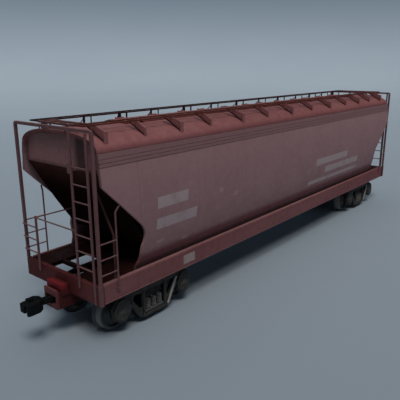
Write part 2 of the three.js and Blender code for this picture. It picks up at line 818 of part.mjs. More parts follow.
function wheelset(x) {
  const stretch = 1 / Math.cos(Math.PI / WHEEL_SIDES);
  const face = BACK_Y + WHEEL_WIDTH;
  const half = [
    [1, 0],
    [1, 6.3],
    [1.7, 6.9],
    [1.7, 7.6],
    [4.3, 8],
    [4.5, BACK_Y],
    [FLANGE_R, BACK_Y + 0.1],
    [FLANGE_R, BACK_Y + 0.6],
    [TREAD_R, BACK_Y + 0.9],
    [TREAD_R, face],
    [4.4, face],
    [4.2, 8.9],
    [1.7, 9.3],
    [1.5, face + 0.1],
    [0.9, face + 0.3],
    [0.9, 11.6],
    [0.35, 12.4],
    [0, 12.4],
  ];
  const mirrored = half.slice(1).map(([r, y]) => [r, -y]).reverse();
  const profile = mirrored.concat(half.slice(1));
  const points = profile.map(([r, y]) => new THREE.Vector2(r * stretch, y));
  const geometry = new THREE.LatheGeometry(points, WHEEL_SIDES, Math.PI / WHEEL_SIDES);
  geometry.translate(x, 0, BEARING_Z);
  return solid(geometry);
}

// ---- Assembly -----------------------------------------------------------------------------
const car = new THREE.Group();
const carBody = new THREE.Group();
car.add(carBody);

for (const [name, side] of Object.entries(SIDES)) {
  part(carBody, `side_sheet_${name}`, sideSheet(side), bodyPaint);
  part(carBody, `side_sill_${name}`, sideSill(side), sillPaint);
  part(carBody, `running_board_${name}`, runningBoard(side), railPaint);
}
part(carBody, "roof", roof(), roofPaint);
part(carBody, "hatch_coaming", hatchCoaming(), roofPaint);
hatchCentres().forEach((centre, i) => {
  part(carBody, `hatch_cover_${i + 1}`, hatchCover(centre), roofPaint);
});

const BAYS = [
  { centre: -BAY_PITCH, way: 1 },
  { centre: 0, way: 1 },
  { centre: BAY_PITCH, way: -1 },
];
BAYS.forEach(({ centre, way }, i) => {
  part(carBody, `outlet_hopper_${i + 1}`, outletHopper(centre, way), bodyPaint);
  part(carBody, `outlet_gate_${i + 1}`, outletGate(centre, way), springSteel);
});

for (const [name, end] of Object.entries(ENDS)) {
  part(carBody, `end_bulkhead_${name}`, endBulkhead(end), endPaint);
  part(carBody, `hopper_partition_${name}`, partition(end), bodyPaint);
  part(carBody, `end_platform_${name}`, endPlatform(end), sillPaint);
  part(carBody, `draft_sill_${name}`, draftSill(end), sillPaint);
  part(carBody, `coupler_box_lid_${name}`, couplerBoxLid(end), sillPaint);
  part(carBody, `corner_frame_${name}`, cornerFrame(end), railPaint);
  part(carBody, `end_ladder_${name}`, endLadder(end), railPaint);
  part(carBody, `end_rail_${name}`, endRail(end), railPaint);
  part(carBody, `end_walkway_${name}`, endWalkway(end), railPaint);
  part(carBody, `truck_screw_${name}`, truckScrew(end * TRUCK_X), springSteel);
  part(carBody, `coupler_${name}`, coupler(end), couplerMetal);
  part(carBody, `knuckle_${name}`, knuckle(end), couplerMetal);

  const truck = new THREE.Group();
  car.add(truck);
  const centre = end * TRUCK_X;
  part(truck, `truck_bolster_${name}`, truckBolster(centre), truckPlastic);
  for (const [sideName, side] of Object.entries(SIDES)) {
    part(truck, `side_frame_${name}_${sideName}`, sideFrame(centre, side), truckPlastic);
    part(truck, `spring_group_${name}_${sideName}`, springGroup(centre, side), springSteel);
  }
  part(truck, `wheelset_${name}_outer`, wheelset(end * (TRUCK_X + AXLE_X)), wheelMetal);
  part(truck, `wheelset_${name}_inner`, wheelset(end * (TRUCK_X - AXLE_X)), wheelMetal);
}

part(carBody, "brake_housing", brakeHousing(), railPaint);
part(carBody, "brake_wheel", brakeWheel(), couplerMetal);
part(carBody, "brake_cylinder", brakeCylinder(), couplerMetal);
part(carBody, "air_reservoir", airReservoir(), couplerMetal);

export default car;
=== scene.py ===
"""The looks of the HO scale covered hopper car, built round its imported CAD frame.

Lengths in this script are millimetres in the frame's own axes: +X along the car towards the
hand brake, +Y to its left side, +Z up. Every piece is scaled to metres when it is made.
"""

import math

import bmesh
import bpy
from mathutils import Matrix, Vector


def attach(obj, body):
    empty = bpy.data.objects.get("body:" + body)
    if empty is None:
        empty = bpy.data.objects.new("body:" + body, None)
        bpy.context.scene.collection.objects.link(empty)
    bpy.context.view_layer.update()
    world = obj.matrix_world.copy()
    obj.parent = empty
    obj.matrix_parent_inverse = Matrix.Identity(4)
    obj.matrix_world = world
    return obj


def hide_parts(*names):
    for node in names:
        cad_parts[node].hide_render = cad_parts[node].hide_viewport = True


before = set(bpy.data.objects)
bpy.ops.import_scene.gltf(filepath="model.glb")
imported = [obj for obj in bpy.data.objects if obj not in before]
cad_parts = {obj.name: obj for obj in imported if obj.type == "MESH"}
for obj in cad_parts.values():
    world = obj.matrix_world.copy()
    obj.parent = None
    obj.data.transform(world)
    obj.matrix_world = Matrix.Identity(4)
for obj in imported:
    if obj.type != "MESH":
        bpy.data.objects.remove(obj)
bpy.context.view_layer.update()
scene = bpy.context.scene
MM = 0.001
TURN = 2 * math.pi

# ---- Dimensions that the CAD part shares -----------------------------------------------------
CAR_END = 96.4
BODY_END = 94.6
POST_OUT = 16.5
SILL_FOOT = 12.9
SILL_TOP = 18
EAVE = 51.3
EAVE_OUT = 16.0
ROOF_RISE = 4.4
ROOF_POWER = 2.6
WALL = 0.8
BARREL_OUT = 17.4
BARREL_Z = 36.5
SHEET_BOTTOM = 14.5
KNEE_Z = 46.5
TRUCK_X = 74.5
AXLE_X = 12.4
AXLE_Z = 5.9
HATCH_PITCH = 37.2
HATCH_HALF = 18.4
HINGE_Y = 4.8
HINGE_Z = 56.25
# The walk brackets, counted outwards from the middle one of a row that is a little off centre.
BRACKETS = [0, 16.4, 32, 48.3, 62, 75.5, 89]
BRACKET_SHIFT = -1.8
# How far out the foot stands, its top, its half width, the web's thickness, the rim's half width.
HEAVY_BRACKET = {"reach": 15, "crest": 56.1, "half": 0.6, "web": 0.3, "rim": 0.42}
LIGHT_BRACKET = {"reach": 14.5, "crest": 55.7, "half": 0.35, "web": 0.22, "rim": 0.28}
ENDS = {"a": -1, "b": 1}
SIDES = {"right": -1, "left": 1}


def sheet_y(z):
    """Half width of the barrel-shaped side at a height."""
    above = z - BARREL_Z
    return BARREL_OUT - (0.0064 if above > 0 else 0.0095) * above * above


def roof_z(y, half=EAVE_OUT, rise=ROOF_RISE):
    """Height of the roof over a point across the car."""
    across = min(1.0, abs(y) / half)
    return EAVE + 0.1 + rise * math.sqrt(1 - across**ROOF_POWER)


def spread(start, stop, count):
    return [start + (stop - start) * i / count for i in range(count + 1)]


# ---- Material nodes --------------------------------------------------------------------------
def linear(red, green, blue):
    """A display colour, 0 to 255, as the linear colour that shaders use."""
    parts = [c / 255 for c in (red, green, blue)]
    return [c / 12.92 if c <= 0.04045 else ((c + 0.055) / 1.055) ** 2.4 for c in parts] + [1.0]


class Finish:
    """A procedural material. Positions are millimetres in the piece's own frame."""

    def __init__(self, name):
        self.material = bpy.data.materials.new(name)
        self.material.use_nodes = True
        self.tree = self.material.node_tree
        self.shader = self.tree.nodes["Principled BSDF"]
        where = self.add("ShaderNodeTexCoord").outputs["Object"]
        self.place = self.vector("SCALE", where, scale=1 / MM)
        split = self.add("ShaderNodeSeparateXYZ")
        self.link(self.place, split.inputs[0])
        self.x, self.y, self.z = split.outputs
        self.geometry = self.add("ShaderNodeNewGeometry")

    def add(self, kind, **settings):
        node = self.tree.nodes.new(kind)
        for key, value in settings.items():
            setattr(node, key, value)
        return node

    def link(self, source, target):
        """Connects an output, or sets a plain value."""
        if isinstance(source, bpy.types.NodeSocket):
            self.tree.links.new(source, target)
        else:
            target.default_value = source

    def vector(self, operation, a, b=None, scale=None):
        node = self.add("ShaderNodeVectorMath", operation=operation)
        self.link(a, node.inputs[0])
        if b is not None:
            self.link(b, node.inputs[1])
        if scale is not None:
            node.inputs["Scale"].default_value = scale
        return node.outputs[0]

    def math(self, operation, a, b=0.0):
        node = self.add("ShaderNodeMath", operation=operation)
        self.link(a, node.inputs[0])
        self.link(b, node.inputs[1])
        return node.outputs[0]

    def times(self, a, b):
        return self.math("MULTIPLY", a, b)

    def noise(self, size, detail, stretch=(1, 1, 1), rough=0.55, warp=0.0):
        """Noise from 0 to 1 whose blotches are about `size` mm, drawn out by `stretch`."""
        scaled = self.vector("MULTIPLY", self.place, [1 / (size * s) for s in stretch])
        node = self.add("ShaderNodeTexNoise")
        self.link(scaled, node.inputs["Vector"])
        settings = {"Scale": 1, "Detail": detail, "Roughness": rough, "Distortion": warp}
        for key, value in settings.items():
            node.inputs[key].default_value = value
        return node.outputs[0]

    def ramp(self, value, low, high):
        """0 below `low`, 1 above `high`; the two may be given the other way round."""
        node = self.add("ShaderNodeMapRange", clamp=True)
        node.interpolation_type = "SMOOTHSTEP"
        self.link(value, node.inputs["Value"])
        node.inputs["From Min"].default_value = low
        node.inputs["From Max"].default_value = high
        return node.outputs[0]

    def near(self, value, centre, half, soft):
        """1 where value is within `half` of `centre`, fading over `soft`."""
        away = self.math("ABSOLUTE", self.math("SUBTRACT", value, centre))
        return self.ramp(away, half + soft, half)

    def mix(self, amount, under, over):
        node = self.add("ShaderNodeMix", data_type="RGBA")
        self.link(amount, node.inputs[0])
        self.link(under, node.inputs[6])
        self.link(over, node.inputs[7])
        return node.outputs[2]

    def tint(self, colour, mask, strength, shade):
        """Lays a shade, given as display values, over the colour where the mask is."""
        return self.mix(self.times(mask, strength), colour, linear(*shade))

    def facing_up(self):
        split = self.add("ShaderNodeSeparateXYZ")
        self.link(self.geometry.outputs["Normal"], split.inputs[0])
        return split.outputs[2]

    def hollow_shade(self, distance):
        """1 in corners and under ledges, 0 out in the open: the mask for painted shade in
        hollows.
        """
        node = self.add("ShaderNodeAmbientOcclusion", samples=6)
        node.inputs["Distance"].default_value = distance * MM
        return self.ramp(node.outputs["AO"], 0.8, 0.25)

    def worn_edge(self, radius):
        """1 along edges, from how far a rounded normal leans away from the true one."""
        bevel = self.add("ShaderNodeBevel", samples=4)
        bevel.inputs["Radius"].default_value = radius * MM
        lean = self.add("ShaderNodeVectorMath", operation="DOT_PRODUCT")
        self.link(bevel.outputs[0], lean.inputs[0])
        self.link(self.geometry.outputs["Normal"], lean.inputs[1])
        return self.ramp(self.math("SUBTRACT", 1.0, lean.outputs["Value"]), 0.02, 0.22)

    def bump(self, height, distance, strength):
        node = self.add("ShaderNodeBump")
        node.inputs["Strength"].default_value = strength
        node.inputs["Distance"].default_value = distance * MM
        self.link(height, node.inputs["Height"])
        return node.outputs[0]

    def surface(self, colour, rough, normal=None, metallic=0.0, specular=0.3):
        self.link(colour, self.shader.inputs["Base Color"])
        self.link(rough, self.shader.inputs["Roughness"])
        self.shader.inputs["Metallic"].default_value = metallic
        self.shader.inputs["Specular IOR Level"].default_value = specular
        if normal is not None:
            self.link(normal, self.shader.inputs["Normal"])
        return self.material


# How far the painted shade in hollows reaches, in millimetres.
SHADE_REACH = 2.2


def weathered(
    name,
    base,
    faded,
    grimy,
    worn,
    fade=0.55,
    streak=0.35,
    edge=0.6,
    edge_width=0.3,
    dust=0.35,
    details=None,
    specular=0.3,
):
    """Old paint: blotches, rain streaks, settled dust, grime and painted shade in corners, and
    rubbed edges.
    """
    f = Finish(name)
    blotch = f.ramp(f.noise(14, 5, warp=0.6), 0.32, 0.68)
    mottle = f.ramp(f.noise(2.2, 5, rough=0.65), 0.35, 0.75)
    grain = f.noise(0.35, 3)
    runs = f.ramp(f.noise(1.3, 6, stretch=(1, 1, 11), rough=0.6), 0.45, 0.72)
    long_runs = f.ramp(f.noise(3.6, 4, stretch=(1, 1, 16)), 0.5, 0.75)
    colour = f.mix(f.times(blotch, fade), linear(*base), linear(*faded))
    colour = f.tint(colour, mottle, 0.22, grimy)
    colour = f.tint(colour, runs, streak * 0.7, faded)
    colour = f.tint(colour, long_runs, streak * 0.6, grimy)
    settled = f.times(f.ramp(f.facing_up(), 0.35, 0.95), f.ramp(mottle, 1.3, -0.4))
    colour = f.tint(colour, settled, dust, worn)
    if details:
        colour = details(f, colour)
    # Grime and painted shade together: darker in corners and under ledges, broken up by the
    # grain.
    darkening = f.times(f.hollow_shade(SHADE_REACH), f.ramp(grain, 0.2, 0.6))
    colour = f.tint(colour, darkening, 0.6, grimy)
    if edge:
        rubbed = f.times(f.worn_edge(edge_width), f.ramp(f.noise(1.1, 5), 0.36, 0.56))
        colour = f.tint(colour, rubbed, edge, worn)
    colour = f.mix(0.1, colour, f.mix(f.ramp(grain, 0.3, 0.7), linear(*grimy), linear(*worn)))
    rough = f.math("ADD", 0.62, f.times(mottle, 0.2))
    relief = f.math("ADD", f.times(grain, 0.6), f.times(mottle, 0.4))
    return f.surface(colour, rough, f.bump(relief, 0.05, 0.6), specular=specular)


SEAM_PITCH = 23.65
CHORD_LINES = (51.25, 49.9, 48.94, 48.05)
# Blank bars where markings would go, as (x, z, half length, half height) on the sides.
SIDE_PATCHES = [
    (-70.3, 35.8, 6.2, 1.6), (-68.3, 29.8, 8.4, 1.6),
    (30.3, 32.6, 15.0, 1.4), (41.5, 28.4, 17.0, 1.4), (35.0, 24.4, 24.0, 0.8),
]
SIDE_SPOTS = [
    (-74.5, 24.4, 1.6, 0.5), (-48.5, 34.0, 1.1, 0.9),
    (-40.5, 31.5, 1.2, 0.8), (-64.0, 22.5, 1.2, 0.5),
]
SILL_PATCH = (-62.6, 15.6, 2.6, 1.4)


def weld_seams(f, colour, shade, strength):
    """Thin upright lines where the sheets of the body meet."""
    phase = f.math("PINGPONG", f.math("ADD", f.x, SEAM_PITCH / 2), SEAM_PITCH / 2)
    line = f.times(f.ramp(phase, 0.28, 0.06), f.ramp(f.noise(2.5, 3), 0.25, 0.6))
    return f.tint(colour, line, strength, shade)


def pale_patch(f, colour, patch, strength, shade=(206, 188, 186)):
    """A rectangle where a marking has faded away, with nothing written in it."""
    x, z, half_x, half_z = patch
    inside = f.times(f.near(f.x, x, half_x - 0.2, 0.3), f.near(f.z, z, half_z - 0.15, 0.25))
    worn = f.ramp(f.noise(5, 5, rough=0.6), 0.15, 0.5)
    return f.tint(colour, f.times(inside, worn), strength, shade)


def side_details(f, colour):
    """What only the long sides carry: chord lines, seams, blank faded patches, a painted
    highlight towards the top, darker bands towards the bottom and painted shadow above the sill.
    """
    colour = dark_rim(f, colour)
    # Painted highlight: lighter towards the top, where the barrel-shaped side leans up towards
    # the light.
    colour = f.tint(colour, f.ramp(f.z, 27, 47), 0.35, (182, 138, 142))
    # Darker towards the bottom, in uneven bands.
    low = f.times(f.ramp(f.z, 29, 15), f.ramp(f.noise(6, 4, stretch=(3, 1, 1)), 0.1, 0.7))
    colour = f.tint(colour, low, 0.55, (108, 70, 72))
    colour = weld_seams(f, colour, (112, 78, 82), 0.25)
    # Painted shadow just above the sill, where the side curves in under itself; darkest at the
    # bottom.
    foot = f.ramp(f.z, 23.4, 20.8)
    colour = f.tint(colour, foot, 0.9, (104, 32, 38))
    colour = f.tint(colour, f.ramp(f.z, 20.4, 18.9), 0.9, (60, 10, 14))
    upper = f.ramp(f.z, 47.9, 48.4)
    colour = f.tint(colour, upper, 0.55, (122, 80, 80))
    for height in CHORD_LINES:
        line = f.near(f.z, height, 0.05, 0.14)
        colour = f.tint(colour, line, 0.3, (84, 52, 54))
    for patch in SIDE_PATCHES:
        colour = pale_patch(f, colour, patch, 0.72)
    for spot in SIDE_SPOTS:
        colour = pale_patch(f, colour, spot, 0.3)
    return colour


def sill_details(f, colour):
    """A bright top edge of rubbed paint and painted highlight, a redder upper half and one blank
    patch.
    """
    upper = f.times(f.ramp(f.z, 16.2, 18.0), f.ramp(f.noise(5, 3, stretch=(3, 1, 1)), 0.1, 0.7))
    colour = f.tint(colour, upper, 0.6, (112, 62, 64))
    # Painted highlight, with rubbed paint, along the rounded top edge.
    colour = f.tint(colour, f.ramp(f.z, 18.0, 18.35), 0.35, (186, 140, 134))
    lip = f.times(f.near(f.z, 13.5, 0.05, 0.15), f.ramp(f.noise(4, 4), 0.3, 0.6))
    colour = f.tint(colour, lip, 0.5, (90, 48, 50))
    away = f.times(f.ramp(f.x, 0, 90), 0.6)
    colour = f.mix(away, colour, linear(124, 60, 64))
    return pale_patch(f, colour, SILL_PATCH, 0.65, (196, 184, 178))


def dark_rim(f, colour):
    """The raw edge of the shell, seen from the end, is a thin dark line."""
    rim = f.ramp(f.math("ABSOLUTE", f.x), BODY_END - 0.2, BODY_END - 0.1)
    return f.tint(colour, rim, 0.8, (92, 48, 46))


def roof_details(f, colour):
    colour = dark_rim(f, colour)
    colour = weld_seams(f, colour, (128, 74, 76), 0.35)
    edge = f.ramp(f.z, 53.0, 51.4)
    colour = f.tint(colour, edge, 0.4, (132, 78, 80))
    worn_in = f.times(f.ramp(f.x, -75, -20), f.ramp(f.noise(30, 4, warp=0.5), 0.0, 0.7))
    return f.tint(colour, worn_in, 0.35, (120, 58, 54))


def beam_details(f, colour):
    """The front of the coupler box is pinker and the low edges are almost black."""
    front = f.ramp(f.math("ABSOLUTE", f.x), 99.4, 99.7)
    colour = f.tint(colour, front, 0.55, (150, 92, 94))
    crown = f.times(f.ramp(f.math("ABSOLUTE", f.x), 97.2, 97.6), f.ramp(f.z, 14.4, 15.0))
    colour = f.tint(colour, crown, 0.7, (150, 34, 44))
    right = f.times(f.ramp(f.y, -3.5, -12), f.ramp(f.z, 12.8, 13.2))
    colour = f.tint(colour, right, 0.4, (134, 76, 74))
    return f.tint(colour, f.ramp(f.z, 14.2, 12.2), 0.35, (30, 12, 11))


def slope_details(f, colour):
    # Painted shadow: the slope sheet turns nearly black lower down, where it faces down into the
    # shade.
    slope_shadow = f.math("POWER", f.ramp(f.z, 47, 37), 0.6)
    return f.tint(colour, slope_shadow, 0.97, (9, 3, 3))


def end_details(f, colour):
    """The end sheet, with painted shade towards its rim and top, a painted shadow of the ladder,
    a paler band at its right edge and painted shade at its foot.
    """
    across = f.math("ABSOLUTE", f.y)
    # Painted shade towards the rim and the top of the sheet, which sits back inside the shell,
    # and a painted shadow cast by the ladder's inner stile.
    rim = f.times(f.ramp(across, 13.5, 16.0), 0.6)
    ladder_shadow = f.times(f.near(f.y, -8.6, 0.9, 2.6), f.ramp(f.noise(5, 4, warp=0.4), -0.4, 0.3))
    crown = f.times(f.ramp(f.z, 53.2, 55.8), 0.6)
    darkening = f.math("MAXIMUM", f.math("MAXIMUM", rim, crown), f.times(ladder_shadow, 0.9))
    # Paler towards the right edge.
    colour = f.tint(colour, f.ramp(f.y, -9.5, -12), 0.6, (156, 84, 84))
    colour = f.mix(darkening, colour, linear(62, 22, 22))
    # Painted shade at the foot, where the sheet meets the slope sheet, turning nearly black below
    # it.
    painted_shadow = f.times(f.ramp(f.z, 47.2, 46.2), f.ramp(f.noise(6, 5, warp=0.6), -0.6, 0.5))
    colour = f.tint(colour, painted_shadow, 0.96, (40, 15, 12))
    return f.tint(colour, f.ramp(f.z, 46, 36), 0.95, (9, 4, 3))


def truck_finish():
    f = Finish("truck_plastic")
    blotch = f.ramp(f.noise(3.5, 5, warp=0.5), 0.3, 0.7)
    mottle = f.ramp(f.noise(0.9, 5, rough=0.65), 0.35, 0.7)
    grain = f.noise(0.25, 3)
    # The dark grey is partly painted shade, for parts that sit low under the car.
    colour = f.mix(blotch, linear(50, 48, 46), linear(70, 67, 64))
    colour = f.tint(colour, mottle, 0.3, (62, 56, 54))
    settled = f.times(f.ramp(f.facing_up(), 0.1, 0.9), f.ramp(blotch, 1.4, -0.2))
    colour = f.tint(colour, settled, 0.45, (140, 133, 126))
    rust = f.times(f.ramp(f.noise(1.8, 5), 0.58, 0.74), 0.3)
    colour = f.mix(rust, colour, linear(92, 68, 58))
    # Painted shade, nearly black, in the hollows and under the ledges of the trucks.
    colour = f.tint(colour, f.hollow_shade(SHADE_REACH), 0.95, (8, 7, 7))
    # Painted shade, nearly black, on the parts and faces inboard of the side frames' outer faces.
    behind = f.ramp(f.math("ABSOLUTE", f.y), 12.75, 12.1)
    colour = f.tint(colour, behind, 0.9, (11, 10, 10))
    rubbed = f.times(f.worn_edge(0.25), f.ramp(f.noise(0.8, 4), 0.3, 0.55))
    colour = f.tint(colour, rubbed, 0.6, (170, 164, 158))
    rough = f.math("ADD", 0.62, f.times(mottle, 0.25))
    relief = f.math("ADD", f.times(grain, 0.7), f.times(mottle, 0.5))
    return f.surface(colour, rough, f.bump(relief, 0.06, 0.7))


def wheel_finish():
    """Dark blue-grey wheel plates with a rubbed rim."""
    f = Finish("wheel_metal")
    mottle = f.ramp(f.noise(1.2, 5), 0.35, 0.7)
    grain = f.noise(0.2, 3)
    colour = f.mix(mottle, linear(74, 75, 76), linear(96, 97, 98))
    rust = f.ramp(f.noise(2.6, 5), 0.55, 0.75)
    colour = f.tint(colour, rust, 0.35, (66, 54, 48))
    # Painted shade in the hollows of the wheels.
    colour = f.tint(colour, f.hollow_shade(1.2), 0.6, (14, 14, 15))
    rubbed = f.times(f.worn_edge(0.2), f.ramp(f.noise(0.7, 4), 0.3, 0.55))
    colour = f.tint(colour, rubbed, 0.5, (150, 148, 144))
    rough = f.math("ADD", 0.5, f.times(mottle, 0.3))
    return f.surface(colour, rough, f.bump(grain, 0.03, 0.5), metallic=0.1)


def tread_finish():
    f = Finish("wheel_tread")
    lines = f.noise(0.25, 4, stretch=(1, 0.15, 1))
    colour = f.mix(lines, linear(112, 108, 106), linear(150, 146, 142))
    colour = f.tint(colour, f.ramp(f.noise(1.5, 4), 0.5, 0.7), 0.4, (88, 78, 74))
    rough = f.math("ADD", 0.4, f.times(lines, 0.25))
    return f.surface(colour, rough, f.bump(lines, 0.02, 0.4), metallic=0.3)


def metal_finish(name, dark, light, worn, metallic, rough_from, edge=0.5):
    f = Finish(name)
    mottle = f.ramp(f.noise(1.4, 5, warp=0.4), 0.3, 0.7)
    grain = f.noise(0.2, 4)
    colour = f.mix(mottle, linear(*dark), linear(*light))
    # Painted shade in hollows.
    colour = f.tint(colour, f.hollow_shade(1.2), 0.5, (12, 11, 11))
    rubbed = f.times(f.worn_edge(0.22), f.ramp(f.noise(0.7, 4), 0.35, 0.6))
    colour = f.tint(colour, rubbed, edge, worn)
    rough = f.math("ADD", rough_from, f.times(mottle, 0.25))
    return f.surface(colour, rough, f.bump(grain, 0.04, 0.6), metallic, 0.18)


# The base, faded, grimy and worn shades of each paint, then how its weathering differs.
PAINTS = {
    "body_paint": (
        (169, 126, 127), (180, 139, 139), (136, 92, 93), (202, 168, 166),
        dict(fade=0.5, streak=0.16, edge=0.4, details=side_details),
    ),
    "roof_paint": (
        (160, 94, 95), (172, 108, 107), (122, 64, 64), (190, 138, 132),
        dict(fade=0.5, streak=0.15, dust=0.3, details=roof_details),
    ),
    "end_paint": (
        (160, 110, 108), (172, 124, 120), (96, 56, 56), (186, 146, 140),
        dict(edge=0.3, details=end_details),
    ),
    "slope_paint": (
        (88, 50, 46), (98, 60, 54), (40, 18, 16), (104, 68, 62),
        dict(edge=0, dust=0.05, details=slope_details, specular=0.0),
    ),
    # Darker than the body paint, partly as painted shade for a part that sits low under the car.
    "sill_paint": (
        (134, 80, 82), (148, 96, 96), (90, 42, 44), (192, 148, 142),
        dict(edge=0.7, dust=0.4, details=sill_details),
    ),
    "beam_paint": (
        (82, 21, 20), (98, 31, 28), (42, 9, 8), (128, 66, 62),
        dict(edge=0.35, dust=0.15, details=beam_details),
    ),
    "deck_paint": (
        (36, 14, 12), (48, 20, 17), (16, 6, 5), (70, 36, 30),
        dict(edge=0.3, edge_width=0.2, dust=0.12, specular=0.12),
    ),
    "rail_paint": (
        (114, 74, 77), (132, 92, 93), (72, 38, 42), (184, 148, 142),
        dict(edge=0.6, edge_width=0.2, dust=0.45),
    ),
    "bracket_paint": (
        (160, 98, 98), (174, 114, 112), (92, 44, 44), (200, 160, 152),
        dict(edge=0.7, edge_width=0.15, dust=0.3),
    ),
    "board_paint": (
        (104, 46, 32), (124, 62, 46), (52, 20, 14), (160, 108, 92),
        dict(edge=0.3, edge_width=0.15, dust=0.3),
    ),
    "pipe_paint": (
        (78, 44, 44), (92, 56, 55), (46, 24, 24), (122, 88, 84),
        dict(edge=0.3),
    ),
    "dark_edge": (
        (46, 20, 20), (60, 30, 28), (20, 8, 8), (90, 56, 52),
        dict(edge=0.2, dust=0.1),
    ),
    # Near-black, as painted shade: the finish of the brake beams and shoes under the trucks.
    "painted_shadow": (
        (26, 23, 22), (36, 32, 30), (10, 9, 9), (60, 54, 50),
        dict(edge=0.2, specular=0.1),
    ),
    "under_paint": (
        (66, 40, 38), (84, 56, 52), (28, 14, 12), (104, 78, 72),
        dict(edge=0.3, dust=0.3),
    ),
}
FINISHES = {name: weathered(name, *shades, **how) for name, (*shades, how) in PAINTS.items()}
FINISHES |= {
    "truck_plastic": truck_finish(),
    "wheel_metal": wheel_finish(),
    "wheel_tread": tread_finish(),
    "coupler_metal": metal_finish(
        "coupler_metal", (9, 10, 10), (19, 20, 20), (74, 76, 74), 0.0, 0.6, edge=0.4
    ),
    "spring_steel": metal_finish(
        "spring_steel", (98, 94, 92), (132, 128, 124), (176, 172, 166), 0.2, 0.5
    ),
    "coil_steel": metal_finish(
        "coil_steel", (112, 108, 103), (136, 131, 126), (170, 166, 160), 0.1, 0.5
    ),
    "lever_steel": metal_finish(
        "lever_steel", (168, 162, 156), (196, 190, 184), (222, 218, 212), 0.1, 0.5
    ),
}

# ---- Mesh helpers, all in millimetres --------------------------------------------------------


def block(bm, xs, ys, zs):
    """A box from three pairs of limits, given in either order."""
    (x0, x1), (y0, y1), (z0, z1) = sorted(xs), sorted(ys), sorted(zs)
    v = [bm.verts.new(p) for p in (
        (x0, y0, z0), (x1, y0, z0), (x1, y1, z0), (x0, y1, z0),
        (x0, y0, z1), (x1, y0, z1), (x1, y1, z1), (x0, y1, z1),
    )]
    for ids in (
        (3, 2, 1, 0), (4, 5, 6, 7), (0, 1, 5, 4), (1, 2, 6, 5), (2, 3, 7, 6), (3, 0, 4, 7),
    ):
        bm.faces.new([v[i] for i in ids])


def extruded(bm, axis, outline, low, high):
    """An outline pushed along an axis: (y, z) points along x, (x, z) along y, (x, y) along z."""
    low, high = sorted((low, high))

    def at(point, depth):
        u, v = point
        return {"x": (depth, u, v), "y": (u, depth, v), "z": (u, v, depth)}[axis]

    first = [bm.verts.new(at(p, low)) for p in outline]
    last = [bm.verts.new(at(p, high)) for p in outline]
    bm.faces.new(first)
    bm.faces.new(last[::-1])
    count = len(outline)
    for i in range(count):
        j = (i + 1) % count
        bm.faces.new([first[i], last[i], last[j], first[j]])


def across_axes(direction):
    """Two directions square to one another and to `direction`."""
    guide = Vector((0, 0, 1)) if abs(direction.z) < 0.9 else Vector((1, 0, 0))
    side = direction.cross(guide).normalized()
    return side, direction.cross(side).normalized()


def pipe(bm, points, radius, sides=10, closed=False):
    """A round bar along a line of points, with flat ends."""
    points = [Vector(p) for p in points]
    count = len(points)
    rings = []
    side = None
    for i, point in enumerate(points):
        before = points[i - 1] if (i or closed) else point
        after = points[(i + 1) % count] if (i + 1 < count or closed) else point
        along = (after - before).normalized()
        if side is None:
            side = across_axes(along)[0]
        side = (side - along * side.dot(along)).normalized()
        up = along.cross(side)
        rings.append([
            bm.verts.new(
                point + radius * (math.cos(t) * side + math.sin(t) * up)
            )
            for t in [TURN * k / sides for k in range(sides)]
        ])
    pairs = range(count if closed else count - 1)
    for i in pairs:
        near, far = rings[i], rings[(i + 1) % count]
        for k in range(sides):
            m = (k + 1) % sides
            bm.faces.new([near[k], near[m], far[m], far[k]])
    if not closed:
        bm.faces.new(rings[0][::-1])
        bm.faces.new(rings[-1])


def turned(bm, centre, axis, profile, sides, closed=False):
    """A lathe-turned shape. The profile holds (radius, distance along the axis) points."""
    centre, axis = Vector(centre), Vector(axis).normalized()
    side, up = across_axes(axis)
    rings = []
    for radius, along in profile:
        if radius < 1e-6:
            rings.append([bm.verts.new(centre + axis * along)])
            continue
        rings.append([
            bm.verts.new(centre + axis * along + radius * (math.cos(t) * side + math.sin(t) * up))
            for t in [TURN * k / sides for k in range(sides)]
        ])
    last = len(rings) if closed else len(rings) - 1
    for i in range(last):
        near, far = rings[i], rings[(i + 1) % len(rings)]
        if len(near) == 1 and len(far) == 1:
            continue
        for k in range(sides):
            m = (k + 1) % sides
            if len(near) == 1:
                bm.faces.new([near[0], far[m], far[k]])
            elif len(far) == 1:
                bm.faces.new([near[k], near[m], far[0]])
            else:
                bm.faces.new([near[k], near[m], far[m], far[k]])


def disc(bm, centre, axis, radius, length, sides=24):
    """A short cylinder with softened rims, starting at `centre` and going along `axis`."""
    soft = 0.08
    turned(bm, centre, axis, [
        (0, 0), (radius, 0), (radius, length - soft), (radius - soft, length), (0, length),
    ], sides)


def rivet(bm, point, axis, radius=0.22):
    """A low round head."""
    rise = radius * 0.6
    steps = spread(0, math.pi / 2, 3)[:-1]
    dome = [(radius * math.cos(t), rise * math.sin(t)) for t in steps]
    turned(bm, point, axis, [*dome, (0, rise)], 8)


def rounded(outline, radius, count=4):
    """The outline with each corner swept round."""
    result = []
    total = len(outline)
    for i in range(total):
        before, corner, after = (Vector(outline[(i + k) % total]) for k in (-1, 0, 1))
        into, out = before - corner, after - corner
        start = corner + into * min(radius, into.length / 2.2) / into.length
        stop = corner + out * min(radius, out.length / 2.2) / out.length
        for t in spread(0, 1, count):
            result.append(tuple(start * (1 - t) ** 2 + corner * 2 * t * (1 - t) + stop * t * t))
    return result


